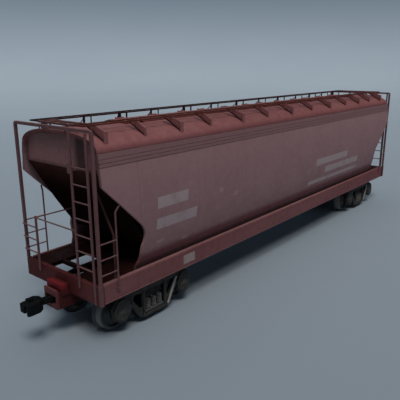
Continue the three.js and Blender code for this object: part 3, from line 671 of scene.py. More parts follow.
def casting(bm, outer, holes, low, high, bevel):
    """A plate in the (x, z) plane with holes and rounded edges, like a casting."""
    low, high = sorted((low, high))
    curve = bpy.data.curves.new("casting", "CURVE")
    curve.dimensions = "2D"
    curve.fill_mode = "BOTH"
    curve.extrude = (high - low) / 2 - bevel
    curve.bevel_depth = bevel
    curve.bevel_resolution = 2
    curve.offset = -bevel
    for loop in [outer, *holes]:
        spline = curve.splines.new("POLY")
        spline.points.add(len(loop) - 1)
        for point, (u, v) in zip(spline.points, loop):
            point.co = (u, v, 0, 1)
        spline.use_cyclic_u = True
    holder = bpy.data.objects.new("casting", curve)
    scene.collection.objects.link(holder)
    bpy.context.view_layer.update()
    graph = bpy.context.evaluated_depsgraph_get()
    mesh = bpy.data.meshes.new_from_object(holder.evaluated_get(graph))
    upright = Matrix.Rotation(math.pi / 2, 4, "X")
    mesh.transform(Matrix.Translation((0, (low + high) / 2, 0)) @ upright)
    bm.from_mesh(mesh)
    bpy.data.objects.remove(holder)
    bpy.data.curves.remove(curve)
    bpy.data.meshes.remove(mesh)


def thicken(bm, shift):
    """Turns an open sheet into a closed one by adding its back face and its rims."""
    faces = list(bm.faces)
    rims = [e for e in bm.edges if e.is_boundary]
    copies = {v: bm.verts.new(v.co + Vector(shift(v.co))) for v in list(bm.verts)}
    for face in faces:
        bm.faces.new([copies[v] for v in reversed(face.verts)])
    for edge in rims:
        loop = edge.link_loops[0]
        a, b = loop.vert, loop.link_loop_next.vert
        bm.faces.new([b, a, copies[a], copies[b]])


def slice_along(bm, axis, places):
    """Cuts the sheet at each place, so that it can bend there."""
    normal = Vector({"x": (1, 0, 0), "y": (0, 1, 0), "z": (0, 0, 1)}[axis])
    for place in places:
        geom = bm.verts[:] + bm.edges[:] + bm.faces[:]
        bmesh.ops.bisect_plane(bm, geom=geom, plane_co=normal * place, plane_no=normal)


def piece(name, body, slot, bm, replaces=(), finish=None, bevel=0.0, sharp=35, segments=2):
    """Makes the mesh an object that rides on a CAD body."""
    bmesh.ops.remove_doubles(bm, verts=bm.verts[:], dist=1e-5)
    bmesh.ops.recalc_face_normals(bm, faces=bm.faces[:])
    mesh = bpy.data.meshes.new(name)
    bm.to_mesh(mesh)
    bm.free()
    mesh.transform(Matrix.Scale(MM, 4))
    mesh.materials.append(FINISHES[finish or slot])
    mesh.shade_smooth()
    mesh.set_sharp_from_angle(angle=math.radians(sharp))
    made = bpy.data.objects.new(name, mesh)
    scene.collection.objects.link(made)
    if bevel:
        soften(made, bevel, segments)
    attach(made, body)
    if replaces:
        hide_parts(*replaces)
    return made


def fixed(name, slot, bm, *options, **settings):
    """A piece that rides on the car body."""
    return piece(name, "car_body", slot, bm, *options, **settings)


def soften(thing, width, segments=2):
    """Rounds the edges of a piece."""
    rounder = thing.modifiers.new("soft_edges", "BEVEL")
    rounder.width = width * MM
    rounder.segments = segments
    rounder.limit_method = "ANGLE"
    rounder.angle_limit = math.radians(38)
    rounder.harden_normals = True


def carry(node, finish, bevel=0.08):
    """Shows a CAD node itself, with its finish and softened edges."""
    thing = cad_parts[node]
    thing.data.materials.clear()
    thing.data.materials.append(FINISHES[finish])
    weld = thing.modifiers.new("weld", "WELD")
    weld.merge_threshold = 0.002 * MM
    flat = thing.modifiers.new("flat", "DECIMATE")
    flat.decimate_type = "DISSOLVE"
    flat.angle_limit = math.radians(1)
    if bevel:
        soften(thing, bevel)


# ---- Body shell ------------------------------------------------------------------------------
NOTCH_CORNER = (86.2, 27.4)
NOTCH_RADIUS = 5.5
END_SHEET = (92.8, 93.6)
SLOPE_PATH = [(END_SHEET[1], KNEE_Z), (86.8, 35.5), (80, 24.5), (68.3, 19.5), (56.6, 14.6)]
# The heights of the strips that stand proud along the top of each side.
CHORDS = [(48.1, 48.9), (48.98, 49.86), (49.94, 51.3)]


def notch_edge():
    """The sheet's end from the eaves down round the platform notch, as (x, z) points."""
    cx, cz = NOTCH_CORNER
    arc = [
        (cx + NOTCH_RADIUS * math.cos(t), cz + NOTCH_RADIUS * math.sin(t))
        for t in spread(0.755 * math.pi, 1.16 * math.pi, 18)
    ]
    tail = [
        (81.45, 22.6), (81.45, 21.4), (81.7, 20.4),
        (82.2, 19.5), (82.6, 18.6), (82.6, SHEET_BOTTOM),
    ]
    start_x, start_z = 98.4, 47.2
    fall = (start_z - arc[0][1]) / (start_x - arc[0][0])
    return [(BODY_END, EAVE), (BODY_END, start_z - (start_x - BODY_END) * fall), *arc, *tail]


def side_shell(name, side):
    bm = bmesh.new()
    edge = notch_edge()
    outline = edge + [(-x, z) for x, z in reversed(edge)]
    bm.faces.new([bm.verts.new((x, 0, z)) for x, z in outline])
    slice_along(bm, "z", spread(SHEET_BOTTOM, EAVE, 30)[1:-1])
    slice_along(bm, "x", spread(-BODY_END, BODY_END, 12)[1:-1])
    for v in bm.verts:
        v.co.y = side * sheet_y(v.co.z)
    thicken(bm, lambda co: (0, -side * WALL, 0))
    fixed(f"shell_side_{name}", "body_paint", bm, [f"side_sheet_{name}"], bevel=0.06)
    bm = bmesh.new()
    for low, high in CHORDS:
        outline = [
            (side * (sheet_y(low) - 0.3), low),
            (side * (sheet_y(low) + 0.16), low),
            (side * (sheet_y(high) + 0.16), high),
            (side * (sheet_y(high) - 0.3), high),
        ]
        extruded(bm, "x", outline, -BODY_END, BODY_END)
    fixed(f"chord_{name}", "body_paint", bm, bevel=0.1)


def roof_shell():
    bm = bmesh.new()
    rows = []
    for t in spread(-math.pi / 2, math.pi / 2, 48):
        y = EAVE_OUT * math.sin(t)
        rows.append([bm.verts.new((x, y, roof_z(y))) for x in spread(-BODY_END, BODY_END, 24)])
    for near, far in zip(rows, rows[1:]):
        for i in range(len(near) - 1):
            bm.faces.new([near[i], near[i + 1], far[i + 1], far[i]])
    thicken(bm, lambda co: (0, -co.y * 0.05, -0.75))
    fixed("shell_roof", "roof_paint", bm, ["roof"], bevel=0.06)


def end_wall(name, end):
    """The upright end sheet under the roof arch, and the slope sheet below it."""
    inset = WALL + 0.15

    def limit(z):
        return sheet_y(z) - inset

    bm = bmesh.new()
    heights = spread(KNEE_Z, EAVE, 4)
    right = [(-limit(z), z) for z in heights]
    arch_half = EAVE_OUT - inset
    arch = [
        (arch_half * math.sin(t), roof_z(arch_half * math.sin(t), arch_half, ROOF_RISE - inset))
        for t in spread(-math.pi / 2, math.pi / 2, 32)[1:-1]
    ]
    left = [(-y, z) for y, z in reversed(right)]
    outline = right + arch + left
    extruded(bm, "x", outline, end * END_SHEET[0], end * END_SHEET[1])
    fixed(f"end_sheet_{name}", "end_paint", bm, [f"end_bulkhead_{name}"], bevel=0.05)

    bm = bmesh.new()
    fine = []
    for (xa, za), (xb, zb) in zip(SLOPE_PATH, SLOPE_PATH[1:]):
        fine += [(xa + (xb - xa) * t, za + (zb - za) * t) for t in spread(0, 1, 6)[:-1]]
    fine.append(SLOPE_PATH[-1])
    rows = []
    for x, z in fine:
        half = limit(z)
        rows.append([bm.verts.new((end * x, y, z)) for y in spread(-half, half, 8)])
    for near, far in zip(rows, rows[1:]):
        for i in range(len(near) - 1):
            bm.faces.new([near[i], near[i + 1], far[i + 1], far[i]])
    thicken(bm, lambda co: (-end * 0.62, 0, 0.42))
    fixed(f"slope_sheet_{name}", "end_paint", bm, finish="slope_paint", bevel=0.05)

    bm = bmesh.new()
    half = limit(KNEE_Z) - 0.3
    block(bm, (end * 93.5, end * 93.95), (-half, half), (KNEE_Z - 0.25, KNEE_Z + 0.25))
    fixed(f"end_flange_{name}", "end_paint", bm, bevel=0.06)


# ---- Roof hatches ----------------------------------------------------------------------------
BATTENS = [-13.5, 0, 13.5]
COAMING_END = 75
COAMING_RIM = (55.8, 56.1)
COAMING_WALL = (54.95, 56.05)
LID_SECTION = [
    (-4.4, 56.16), (4.2, 56.16), (4.2, 56.28), (3.4, 56.38),
    (1.4, 56.45), (-1.4, 56.45), (-3.6, 56.38), (-4.4, 56.28),
]


def hatch_coaming():
    bm = bmesh.new()
    for side in (-1, 1):
        block(bm, (-COAMING_END, COAMING_END), (side * 3, side * 4.5), COAMING_RIM)
        block(bm, (-COAMING_END, COAMING_END), (side * 3, side * 3.3), COAMING_WALL)
        block(bm, (side * 73.8, side * COAMING_END), (-4.5, 4.5), COAMING_RIM)
        block(bm, (side * 73.8, side * 74.1), (-3.3, 3.3), COAMING_WALL)
    for centre in hatch_centres():
        for batten in BATTENS:
            for side in (-1, 1):
                near = centre + batten + side
                block(bm, (near, near + side * 0.45), (4.4, 5.15), (55.85, 56.58))
    fixed("hatch_frame", "roof_paint", bm, ["hatch_coaming"], bevel=0.06)


def hatch_centres():
    return [step * HATCH_PITCH for step in (-1.5, -0.5, 0.5, 1.5)]


def hatch_cover(index, centre):
    body = f"hatch_cover_{index}"
    bm = bmesh.new()
    extruded(bm, "x", LID_SECTION, centre - HATCH_HALF, centre + HATCH_HALF)
    piece(f"hatch_lid_{index}", body, "roof_paint", bm, [body], bevel=0.08)
    bm = bmesh.new()
    for batten in BATTENS:
        x = centre + batten
        block(bm, (x - 0.45, x + 0.45), (-5, 4.7), (56.25, 56.54))
        pipe(bm, [(x - 0.9, HINGE_Y, HINGE_Z), (x + 0.9, HINGE_Y, HINGE_Z)], 0.25, 14)
        block(bm, (x - 0.3, x + 0.3), (-5.1, -4.6), (56.1, 56.45))
    for x in spread(centre - HATCH_HALF + 2.4, centre + HATCH_HALF - 2.4, 10):
        rivet(bm, (x, -3.7, 56.36), (0, -0.2, 1), 0.16)
        rivet(bm, (x, 3.5, 56.36), (0, 0.2, 1), 0.16)
    piece(f"hatch_battens_{index}", body, "roof_paint", bm, bevel=0.06)


# ---- Roof walks ------------------------------------------------------------------------------
BOARD_IN = 7.6
BOARD_OUT = 11.4
BOARD_TOP = 57.6
BOARD_END = 94.5
BODY_CROSSING = 90.4
RAIL = 0.3
BOARD_BOTTOM = 57.22
SUPPORT_TOP = 57.25
WEB_TOP = 57.26


def grating(bm, xs, ys, top, cell_x, cell_y, wire=0.1):
    """An etched see-through tread: flat wires both ways."""
    (x0, x1), (y0, y1) = sorted(xs), sorted(ys)
    deep = 0.06
    for x in spread(x0, x1, max(1, round((x1 - x0) / cell_x)))[1:-1]:
        block(bm, (x - wire / 2, x + wire / 2), (y0, y1), (top - deep, top))
    for y in spread(y0, y1, max(1, round((y1 - y0) / cell_y)))[1:-1]:
        block(bm, (x0, x1), (y - wire / 2, y + wire / 2), (top - deep, top))


def bracket_places():
    """Where each bracket stands along the car, and its sizes: every other one is heavy."""
    for i, offset in enumerate(BRACKETS):
        for x in sorted({offset + BRACKET_SHIFT, BRACKET_SHIFT - offset}):
            yield x, LIGHT_BRACKET if i % 2 else HEAVY_BRACKET


def bracket_edge(reach, count):
    """The bracket's lower edge, from its foot on the roof up to the walk, as (y, z) points."""
    start = BOARD_IN + 0.2
    climb = 57.0 - roof_z(start)
    return [
        (y, roof_z(y) + climb * max(0.0, (reach - y) / (reach - start)) ** 1.5)
        for y in spread(reach, start, count)
    ]


def roof_bracket(bm, side, x, size):
    """A thin gusset from the walk down to an upright foot on the roof."""
    reach, crest, half, web = size["reach"], size["crest"], size["half"], size["web"] / 2
    under = [(side * y, z) for y, z in bracket_edge(reach - 0.15, 12)]
    top = [
        (side * (BOARD_IN + 0.2), WEB_TOP),
        (side * BOARD_OUT, WEB_TOP),
        (side * (reach - 0.15), crest - 0.05),
    ]
    extruded(bm, "x", top + under, x - web, x + web)
    back = reach - 0.3
    foot = [
        (back, roof_z(back) - 0.05), (back, crest - 0.05),
        (reach, crest), (reach, roof_z(reach) - 0.05),
    ]
    extruded(bm, "x", [(side * y, z) for y, z in foot], x - half, x + half)


def bracket_shadow_edges(name, side):
    """The brackets' folded lower edges, painted dark to stand in for the shadow each bracket
    casts on the roof.
    """
    bm = bmesh.new()
    for x, size in bracket_places():
        rim = bracket_edge(size["reach"] - 0.32, 12)
        under = [(side * y, z - 0.02) for y, z in rim]
        over = [(side * y, z + 0.3) for y, z in reversed(rim)]
        extruded(bm, "x", under + over, x - size["rim"], x + size["rim"])
    fixed(f"bracket_shadow_edges_{name}", "rail_paint", bm, finish="dark_edge", bevel=0.04)


def left_supports(name, side):
    """Under the left walk: a slim strap inside, an upright outside and a slanting rod."""
    bm = bmesh.new()
    strap = (side * BOARD_IN, side * (BOARD_IN + 0.3))
    upright = (side * (BOARD_OUT - 0.5), side * (BOARD_OUT - 0.2))
    for x, size in bracket_places():
        half, reach = size["half"], size["reach"]
        slim = half * 0.4
        block(bm, (x - slim, x + slim), strap, (55.5, SUPPORT_TOP))
        block(bm, (x - half, x + half), upright, (roof_z(BOARD_OUT) - 0.1, SUPPORT_TOP))
        pipe(bm, [(x, upright[1], 56.4), (x, side * reach, roof_z(reach) + 0.2)], 0.14, 8)
        disc(bm, (x, side * reach, roof_z(reach) - 0.1), (0, side * 0.5, 1), 0.5, 0.35, 12)
    fixed(f"walk_supports_{name}", "rail_paint", bm, finish="dark_edge", bevel=0.04)


def roof_walk(name, side):
    bm = bmesh.new()
    inner, outer = side * BOARD_IN, side * BOARD_OUT
    for y in (inner, outer - side * RAIL):
        block(bm, (-BOARD_END, BOARD_END), (y, y + side * RAIL), (BOARD_BOTTOM, BOARD_TOP))
    for x in (-BOARD_END, BOARD_END - RAIL):
        block(bm, (x, x + RAIL), (inner, outer), (BOARD_BOTTOM, BOARD_TOP))
    for offset in sorted(BRACKETS + [-x for x in BRACKETS[1:]]):
        x = offset + BRACKET_SHIFT
        block(bm, (x - 0.2, x + 0.2), (inner, outer), (BOARD_BOTTOM, BOARD_TOP - 0.04))
    fixed(f"roof_walk_{name}", "rail_paint", bm, [f"running_board_{name}"],
          finish="board_paint" if side < 0 else "dark_edge", bevel=0.05)
    bm = bmesh.new()
    grating(bm, (-BOARD_END, BOARD_END), (inner, outer), BOARD_TOP - 0.1, 3.9, 1.9, 0.08)
    fixed(f"roof_tread_{name}", "rail_paint", bm, finish="board_paint")
    if side > 0:
        left_supports(name, side)
        return
    bm = bmesh.new()
    for x, size in bracket_places():
        roof_bracket(bm, side, x, size)
    fixed(f"walk_brackets_{name}", "rail_paint", bm, finish="bracket_paint", bevel=0.04)
    bracket_shadow_edges(name, side)


def end_walk(name, end):
    bm = bmesh.new()
    front, back = end * BOARD_END, end * BODY_CROSSING
    half = BOARD_IN - 0.1
    for x in (front, back + end * RAIL):
        block(bm, (x, x - end * RAIL), (-half, half), (57.05, BOARD_TOP))
    for y in (-half, -4.5, 0, 4.5, half):
        wide = (max(-half, y - 0.2), min(half, y + 0.2))
        block(bm, (front, back), wide, (57.1, BOARD_TOP - 0.04))
    for y in (-4.5, 4.5):
        foot = roof_z(y) + 0.02
        block(bm, (end * 93.8, end * 94.4), (y - 0.3, y + 0.3), (foot, 57.2))
        block(bm, (end * 93.2, end * 94.5), (y - 0.7, y + 0.7), (foot, roof_z(y) + 0.25))
    fixed(f"end_walk_{name}", "rail_paint", bm, [f"end_walkway_{name}"], bevel=0.05)
    bm = bmesh.new()
    grating(bm, (front, back), (-half, half), BOARD_TOP - 0.08, 0.95, 1.2)
    fixed(f"end_tread_{name}", "rail_paint", bm, finish="board_paint")


# ---- Ends: frames, ladders and rails ---------------------------------------------------------
RUNG = 0.2
# The stile of the side ladder, on the left and on the right side.
STILE_X = {1: 89.5, -1: 90.4}
TIE_X = 89.5
POST_BACK = 95.6
STILE = (96.45, 96.95)
RUNG_X = 96.68
STILE_FACE = 96.93
SIDE_RUNGS = (21, 25.1, 29.2)
RAIL_RUNGS = (21, 24.8, 28.5)
LADDER_RUNGS = [22 + i * 4.3 for i in range(7)]
LADDER_IN = -8.4
LADDER_OUT = -14.7


def corner_frame(name, end):
    bm = bmesh.new()
    back, front = end * POST_BACK, end * CAR_END
    block(bm, (back, front), (-POST_OUT + 0.5, POST_OUT - 0.5), (56.3, 57.1))
    for side in SIDES.values():
        outer, inner = side * POST_OUT, side * (POST_OUT - 0.8)
        corner = [
            (outer, SILL_TOP), (outer, 56.2), (side * (POST_OUT - 0.25), 56.85),
            (side * (POST_OUT - 0.9), 57.1), (inner, 56.3), (inner, SILL_TOP),
        ]
        extruded(bm, "x", corner, back, front)
    for y in (-4.5, 4.5):
        block(bm, (end * 94.5, end * 95.8), (y - 0.3, y + 0.3), (56.3, 56.9))
    fixed(f"end_posts_{name}", "rail_paint", bm, [f"corner_frame_{name}"], bevel=0.12)
    bm = bmesh.new()
    for side in SIDES.values():
        y = side * 16.38
        foot = side * 16.3
        stile_x = STILE_X[side]
        bend_x = stile_x - (0.1 if stile_x > TIE_X else 0)
        stile = [(stile_x, y, 15.6), (stile_x, y, 36.1)]
        stile += [(bend_x, side * 16.42, 36.6), (TIE_X, side * 16.9, 38.1)]
        pipe(bm, [(end * px, py, pz) for px, py, pz in stile], 0.24)
        foot_x = (end * (stile_x - 0.35), end * (stile_x + 0.35))
        block(bm, foot_x, (side * 16.1, side * POST_OUT), (15.3, 16.4))
        rivet(bm, (end * stile_x, side * 16.5, 15.8), (0, side, 0))
        for z in SIDE_RUNGS:
            pipe(bm, [(end * stile_x, foot, z), (end * 95.9, foot, z)], RUNG, 8)
    fixed(f"side_ladder_{name}", "rail_paint", bm)


def end_ladder(name, end):
    bm = bmesh.new()
    inner, outer = LADDER_IN, LADDER_OUT
    for y, foot in ((inner, 16), (outer, 13.2)):
        block(bm, (end * STILE[0], end * STILE[1]), (y - 0.3, y + 0.3), (foot, 56.4))
    fixed(f"ladder_stiles_{name}", "rail_paint", bm, [f"end_ladder_{name}"], bevel=0.1)
    bm = bmesh.new()
    for z in LADDER_RUNGS:
        pipe(bm, [(end * RUNG_X, outer, z), (end * RUNG_X, inner, z)], RUNG, 8)
        for y in (inner, outer):
            rivet(bm, (end * STILE_FACE, y, z), (end, 0, 0), 0.2)
    block(bm, (end * 96.5, end * 96.7), (inner + 0.2, inner + 1.6), (46, 48.6))
    block(bm, (end * 93.9, end * 96.6), (inner + 0.3, inner + 0.6), (46.6, 47))
    fixed(f"ladder_rungs_{name}", "rail_paint", bm)


def end_rail(name, end):
    post_y, rail_z = 9.4, 31.4
    bm = bmesh.new()
    block(bm, (end * STILE[0], end * STILE[1]), (post_y - 0.3, post_y + 0.3), (16, 31.9))
    fixed(f"rail_post_{name}", "rail_paint", bm, [f"end_rail_{name}"], bevel=0.1)
    bm = bmesh.new()
    x = end * RUNG_X
    pipe(bm, [(x, -8.0, rail_z), (x, post_y, rail_z)], RUNG, 8)
    pipe(bm, [(end * 84.9, post_y, 31.5), (x, post_y, 31.5)], RUNG, 8)
    for z in RAIL_RUNGS:
        pipe(bm, [(x, post_y, z), (x, 16.25, z)], RUNG, 8)
        rivet(bm, (end * STILE_FACE, post_y, z), (end, 0, 0), 0.2)
    fixed(f"rail_bars_{name}", "rail_paint", bm)


# Where the deck starts on each side: the opening in the middle is uneven, as in the photo.
DECK_IN = {-1: 4.9, 1: 7.0}
DECK_OUT = 14.9
DECK_BEAM = (16.8, 18.02)
DECK_BACK = 65.5
DECK_FRONT = 95.2
STRAP_Z = (SILL_FOOT, 18.5)


def platform(name, end):
    """The end sill in its own darker paint, then the decks and beams behind it."""
    bm = bmesh.new()
    block(bm, (end * 95.1, end * CAR_END), (-POST_OUT, POST_OUT), (SILL_FOOT, SILL_TOP))
    fixed(f"end_sill_{name}", "sill_paint", bm, [f"end_platform_{name}"],
          finish="beam_paint", bevel=0.12)
    bm = bmesh.new()
    for side in SIDES.values():
        for y in spread(side * 6.5, side * 15.2, 5):
            rivet(bm, (end * 96.38, y, 17.1), (end, 0, 0))
            rivet(bm, (end * 96.38, y, 13.8), (end, 0, 0))
    fixed(f"end_sill_rivets_{name}", "sill_paint", bm, finish="beam_paint")
    bm = bmesh.new()
    block(bm, (end * 90.1, end * 91.1), (-DECK_OUT, DECK_OUT), DECK_BEAM)
    block(bm, (end * DECK_BACK, end * 83.5), (-13, 13), (17.4, 17.98))
    for side in SIDES.values():
        inner = DECK_IN[side]
        block(bm, (end * 82.9, end * DECK_FRONT), (side * inner, side * DECK_OUT), (17.4, 18))
        beam = (side * inner, side * (inner + 0.7))
        block(bm, (end * DECK_BACK, end * DECK_FRONT), beam, DECK_BEAM)
        for y in spread(side * (inner + 1.2), side * (DECK_OUT - 0.6), 6):
            block(bm, (end * 91.3, end * 94.9), (y - 0.15, y + 0.15), (17.9, 18.08))
    fixed(f"platform_deck_{name}", "sill_paint", bm, finish="deck_paint", bevel=0.08)
    bm = bmesh.new()
    block(bm, (end * 95.55, end * 96.45), (-16.56, -16.4), STRAP_Z)
    block(bm, (end * 96.3, end * 96.48), (-16.56, -15.7), STRAP_Z)
    fixed(f"post_strap_{name}", "rail_paint", bm, bevel=0.04)


SILL_END = 94.9
SILL_SECTION = [
    (15, 13), (16.1, 13), (16.1, 17.4), (16.05, 17.85), (15.85, 18.2), (15.5, 18.4), (15, 18.4),
]
JACKING_PADS = (-56, -18.7, 18.7, 56)


def side_sill(name, side):
    bm = bmesh.new()
    extruded(bm, "x", [(side * y, z) for y, z in SILL_SECTION], -SILL_END, SILL_END)
    fixed(f"sill_{name}", "sill_paint", bm, [f"side_sill_{name}"], bevel=0.1)
    bm = bmesh.new()
    block(bm, (0.1 - SILL_END, SILL_END - 0.1), (side * 16.05, side * 16.2), (13, 13.4))
    for x in JACKING_PADS:
        block(bm, (x - 1.6, x + 1.6), (side * 15.2, side * 16.22), (12.95, 13.55))
    fixed(f"sill_flange_{name}", "sill_paint", bm, bevel=0.06)


def draft_sill(name, end):
    carry(f"draft_sill_{name}", "beam_paint", 0.14)
    carry(f"coupler_box_lid_{name}", "beam_paint", 0.1)
    bm = bmesh.new()
    for y in (-2.3, 2.3):
        rivet(bm, (end * 98.8, y, 14.5), (end, 0, 0), 0.26)
    for y in (-1.9, 1.9):
        rivet(bm, (end * 100.2, y, 13.8), (end, 0, 0))
    for side in (-1, 1):
        for x in (97.6, 98.9):
            rivet(bm, (end * x, side * 2.88, 10.6), (0, side, 0), 0.24)
    fixed(f"draft_rivets_{name}", "sill_paint", bm, finish="beam_paint")


def brake_pipe():
    """The pipe that drops from the slope sheet to the platform at end a."""
    bm = bmesh.new()
    path = [(-90.6, -9.2, 41.2), (-90.2, -9.6, 40.2), (-89.6, -13.8, 30.8), (-89.5, -14.2, 29.8)]
    pipe(bm, [*path, (-89.5, -14.2, SILL_TOP)], 0.3)
    collar = [(0.55, 0), (0.55, 0.6), (0.32, 0.8), (0.32, 0)]
    turned(bm, (-89.5, -14.2, 17.9), (0, 0, 1), collar, 12, closed=True)
    fixed("brake_pipe", "rail_paint", bm, finish="pipe_paint")


# ---- Brake gear at end b ---------------------------------------------------------------------
HAND_RIM = 2.75
HANGER_TOP = 17.5


def around(hub, radius, angle, bow=0):
    """A point of the hand wheel, the angle counted from the top; `bow` lifts it outwards."""
    x, y, z = hub
    return (x + bow, y + radius * math.sin(angle), z + radius * math.cos(angle))


def brake_gear():
    y, z = 6.5, 36
    bm = bmesh.new()
    block(bm, (97.05, 97.7), (y - 0.7, y + 0.7), (15, z + 1))
    block(bm, (96.45, 97.7), (y - 1.2, y + 1.2), (14.6, 16.4))
    box = [(y - 1.7, z - 2.6), (y + 1.7, z - 2.6), (y + 1.7, z + 2), (y - 1.7, z + 2)]
    extruded(bm, "x", rounded(box, 0.9), 97.05, 98.2)
    fixed("brake_stand", "rail_paint", bm, ["brake_housing"], bevel=0.12)
    bm = bmesh.new()
    for dy, dz in ((-1.1, -1.9), (1.1, -1.9), (-1.1, 1.3), (1.1, 1.3)):
        rivet(bm, (98.2, y + dy, z + dz), (1, 0, 0))
    fixed("brake_stand_bolts", "rail_paint", bm)
    bm = bmesh.new()
    x = 98.95
    hub = (x, y, z)
    pipe(bm, [around(hub, HAND_RIM, t) for t in spread(0, TURN, 48)[:-1]], 0.26, 12, closed=True)
    for i in range(5):
        t = TURN * (i + 0.5) / 5
        pipe(bm, [hub, around(hub, 1.3, t, 0.15), around(hub, 2.7, t)], 0.17, 8)
    disc(bm, (98.3, y, z), (1, 0, 0), 0.6, 0.95)
    piece("hand_wheel", "brake_wheel", "coupler_metal", bm, ["brake_wheel"])
    bm = bmesh.new()
    x, z = 86.4, 14.8
    turned(bm, (x, 5.8, z), (0, 1, 0), [
        (0, 0), (1.3, 0), (1.7, 0.25), (1.8, 0.6), (1.8, 4.7),
        (2.1, 4.8), (2.1, 5.3), (1.8, 5.5), (0.9, 5.8), (0, 5.8),
    ], 32)
    pipe(bm, [(x, 11.2, z), (x, 13.4, z)], 0.35, 12)
    block(bm, (x - 0.8, x + 0.8), (8, 9.8), (z + 1.4, HANGER_TOP))
    fixed("air_cylinder", "coupler_metal", bm, ["brake_cylinder"])
    bm = bmesh.new()
    turned(bm, (x, -12.9, z), (0, 1, 0), [
        (0, 0), (0.9, 0.05), (1.5, 0.3), (1.9, 0.7), (2.0, 1.1),
        (2.0, 6.1), (1.9, 6.5), (1.5, 6.9), (0.9, 7.15), (0, 7.2),
    ], 32)
    block(bm, (x - 0.8, x + 0.8), (-10.2, -8.2), (z + 1.4, HANGER_TOP))
    fixed("air_tank", "coupler_metal", bm, ["air_reservoir"])


# ---- Couplers --------------------------------------------------------------------------------
COUPLER_Z = 11.8
COUPLER_HEAD = [
    (103, -0.9), (104, -2.15), (104.8, -2.15), (104.8, 0.55), (106.2, 0.75), (107.9, 1.25),
    (108.2, 1.5), (108.2, 2.3), (107.6, 2.5), (104.9, 2.5), (103.4, 1.5),
]
KNUCKLE = [
    (105.1, -1.9), (106.4, -2.15), (107.9, -1.9), (108.3, -1.2), (108.3, 0.7), (107.5, 0.7),
    (106.9, 0.1), (105.4, -0.1), (105.1, -0.6),
]


def coupler(name, end):
    low, high = COUPLER_Z - 0.75, COUPLER_Z + 0.75
    bottom, top = COUPLER_Z - 1.5, COUPLER_Z + 1.5
    bm = bmesh.new()
    eye = [(0.65, 0), (1.25, 0), (1.25, 1.5), (0.65, 1.5)]
    turned(bm, (end * 96.6, 0, low), (0, 0, 1), eye, 28, closed=True)
    block(bm, (end * 97.6, end * 103.8), (-0.8, 0.8), (low, high))
    outline = rounded([(end * x, end * y) for x, y in COUPLER_HEAD], 0.25, 3)
    extruded(bm, "z", outline, bottom, top)
    for z in (bottom, top - 0.35):
        block(bm, (end * 104.4, end * 106.3), (end * -2.1, end * -0.7), (z, z + 0.35))
    block(bm, (end * 103.3, end * 104.1), (end * -0.6, end * 0.9), (top - 0.1, top + 0.3))
    body = f"coupler_{name}"
    piece(f"coupler_head_{name}", body, "coupler_metal", bm, [body], bevel=0.12, segments=3)
    bm = bmesh.new()
    outline = rounded([(end * x, end * y) for x, y in KNUCKLE], 0.25, 3)
    extruded(bm, "z", outline, bottom + 0.45, top - 0.45)
    hook = f"knuckle_{name}"
    piece(f"coupler_jaw_{name}", hook, "coupler_metal", bm, [hook], bevel=0.12, segments=3)
    bm = bmesh.new()
    pin = (end * 105.7, end * -1.35)
    pipe(bm, [(*pin, bottom - 0.08), (*pin, top + 0.15)], 0.3, 14)
    piece(f"coupler_pin_{name}", body, "coupler_metal", bm)


# ---- Trucks ----------------------------------------------------------------------------------
FRAME_HALF = [
    (0, 11.5), (7.5, 11.5), (12, 10.9), (14.6, 10), (15.8, 8.4), (15.6, 5.6), (14.6, 4.2),
    (10.4, 3.9), (9.8, 4.8), (9.5, 7.2), (5.7, 2.1), (4.6, 1.5), (0, 1.5),
]
BOLSTER = [
    (-11.2, 7.4), (-5, 6.8), (5, 6.8), (11.2, 7.4),
    (11.2, 9.5), (5, 10.5), (-5, 10.5), (-11.2, 9.5),
]
LEVER = [(8.9, 13.3, 9.9), (8.6, 13.3, 9.4), (5.3, 13.3, 2.9), (5.2, 13.2, 2.5)]
# The radius of each curved edge of a brake shoe, and which way it is drawn.
SHOE_EDGES = ((5.5, 1), (6.3, -1))
SPRING_HALF = 3.9
SPRING_WINDOW = [(-SPRING_HALF, 3.1), (SPRING_HALF, 3.1), (SPRING_HALF, 9.4), (-SPRING_HALF, 9.4)]
SPRINGS = (-2.3, 0, 2.3)
FRAME_WINDOW = [(4.9, 9.4), (7.8, 9.6), (8.2, 8.3), (5.9, 5.2), (4.9, 4.6)]


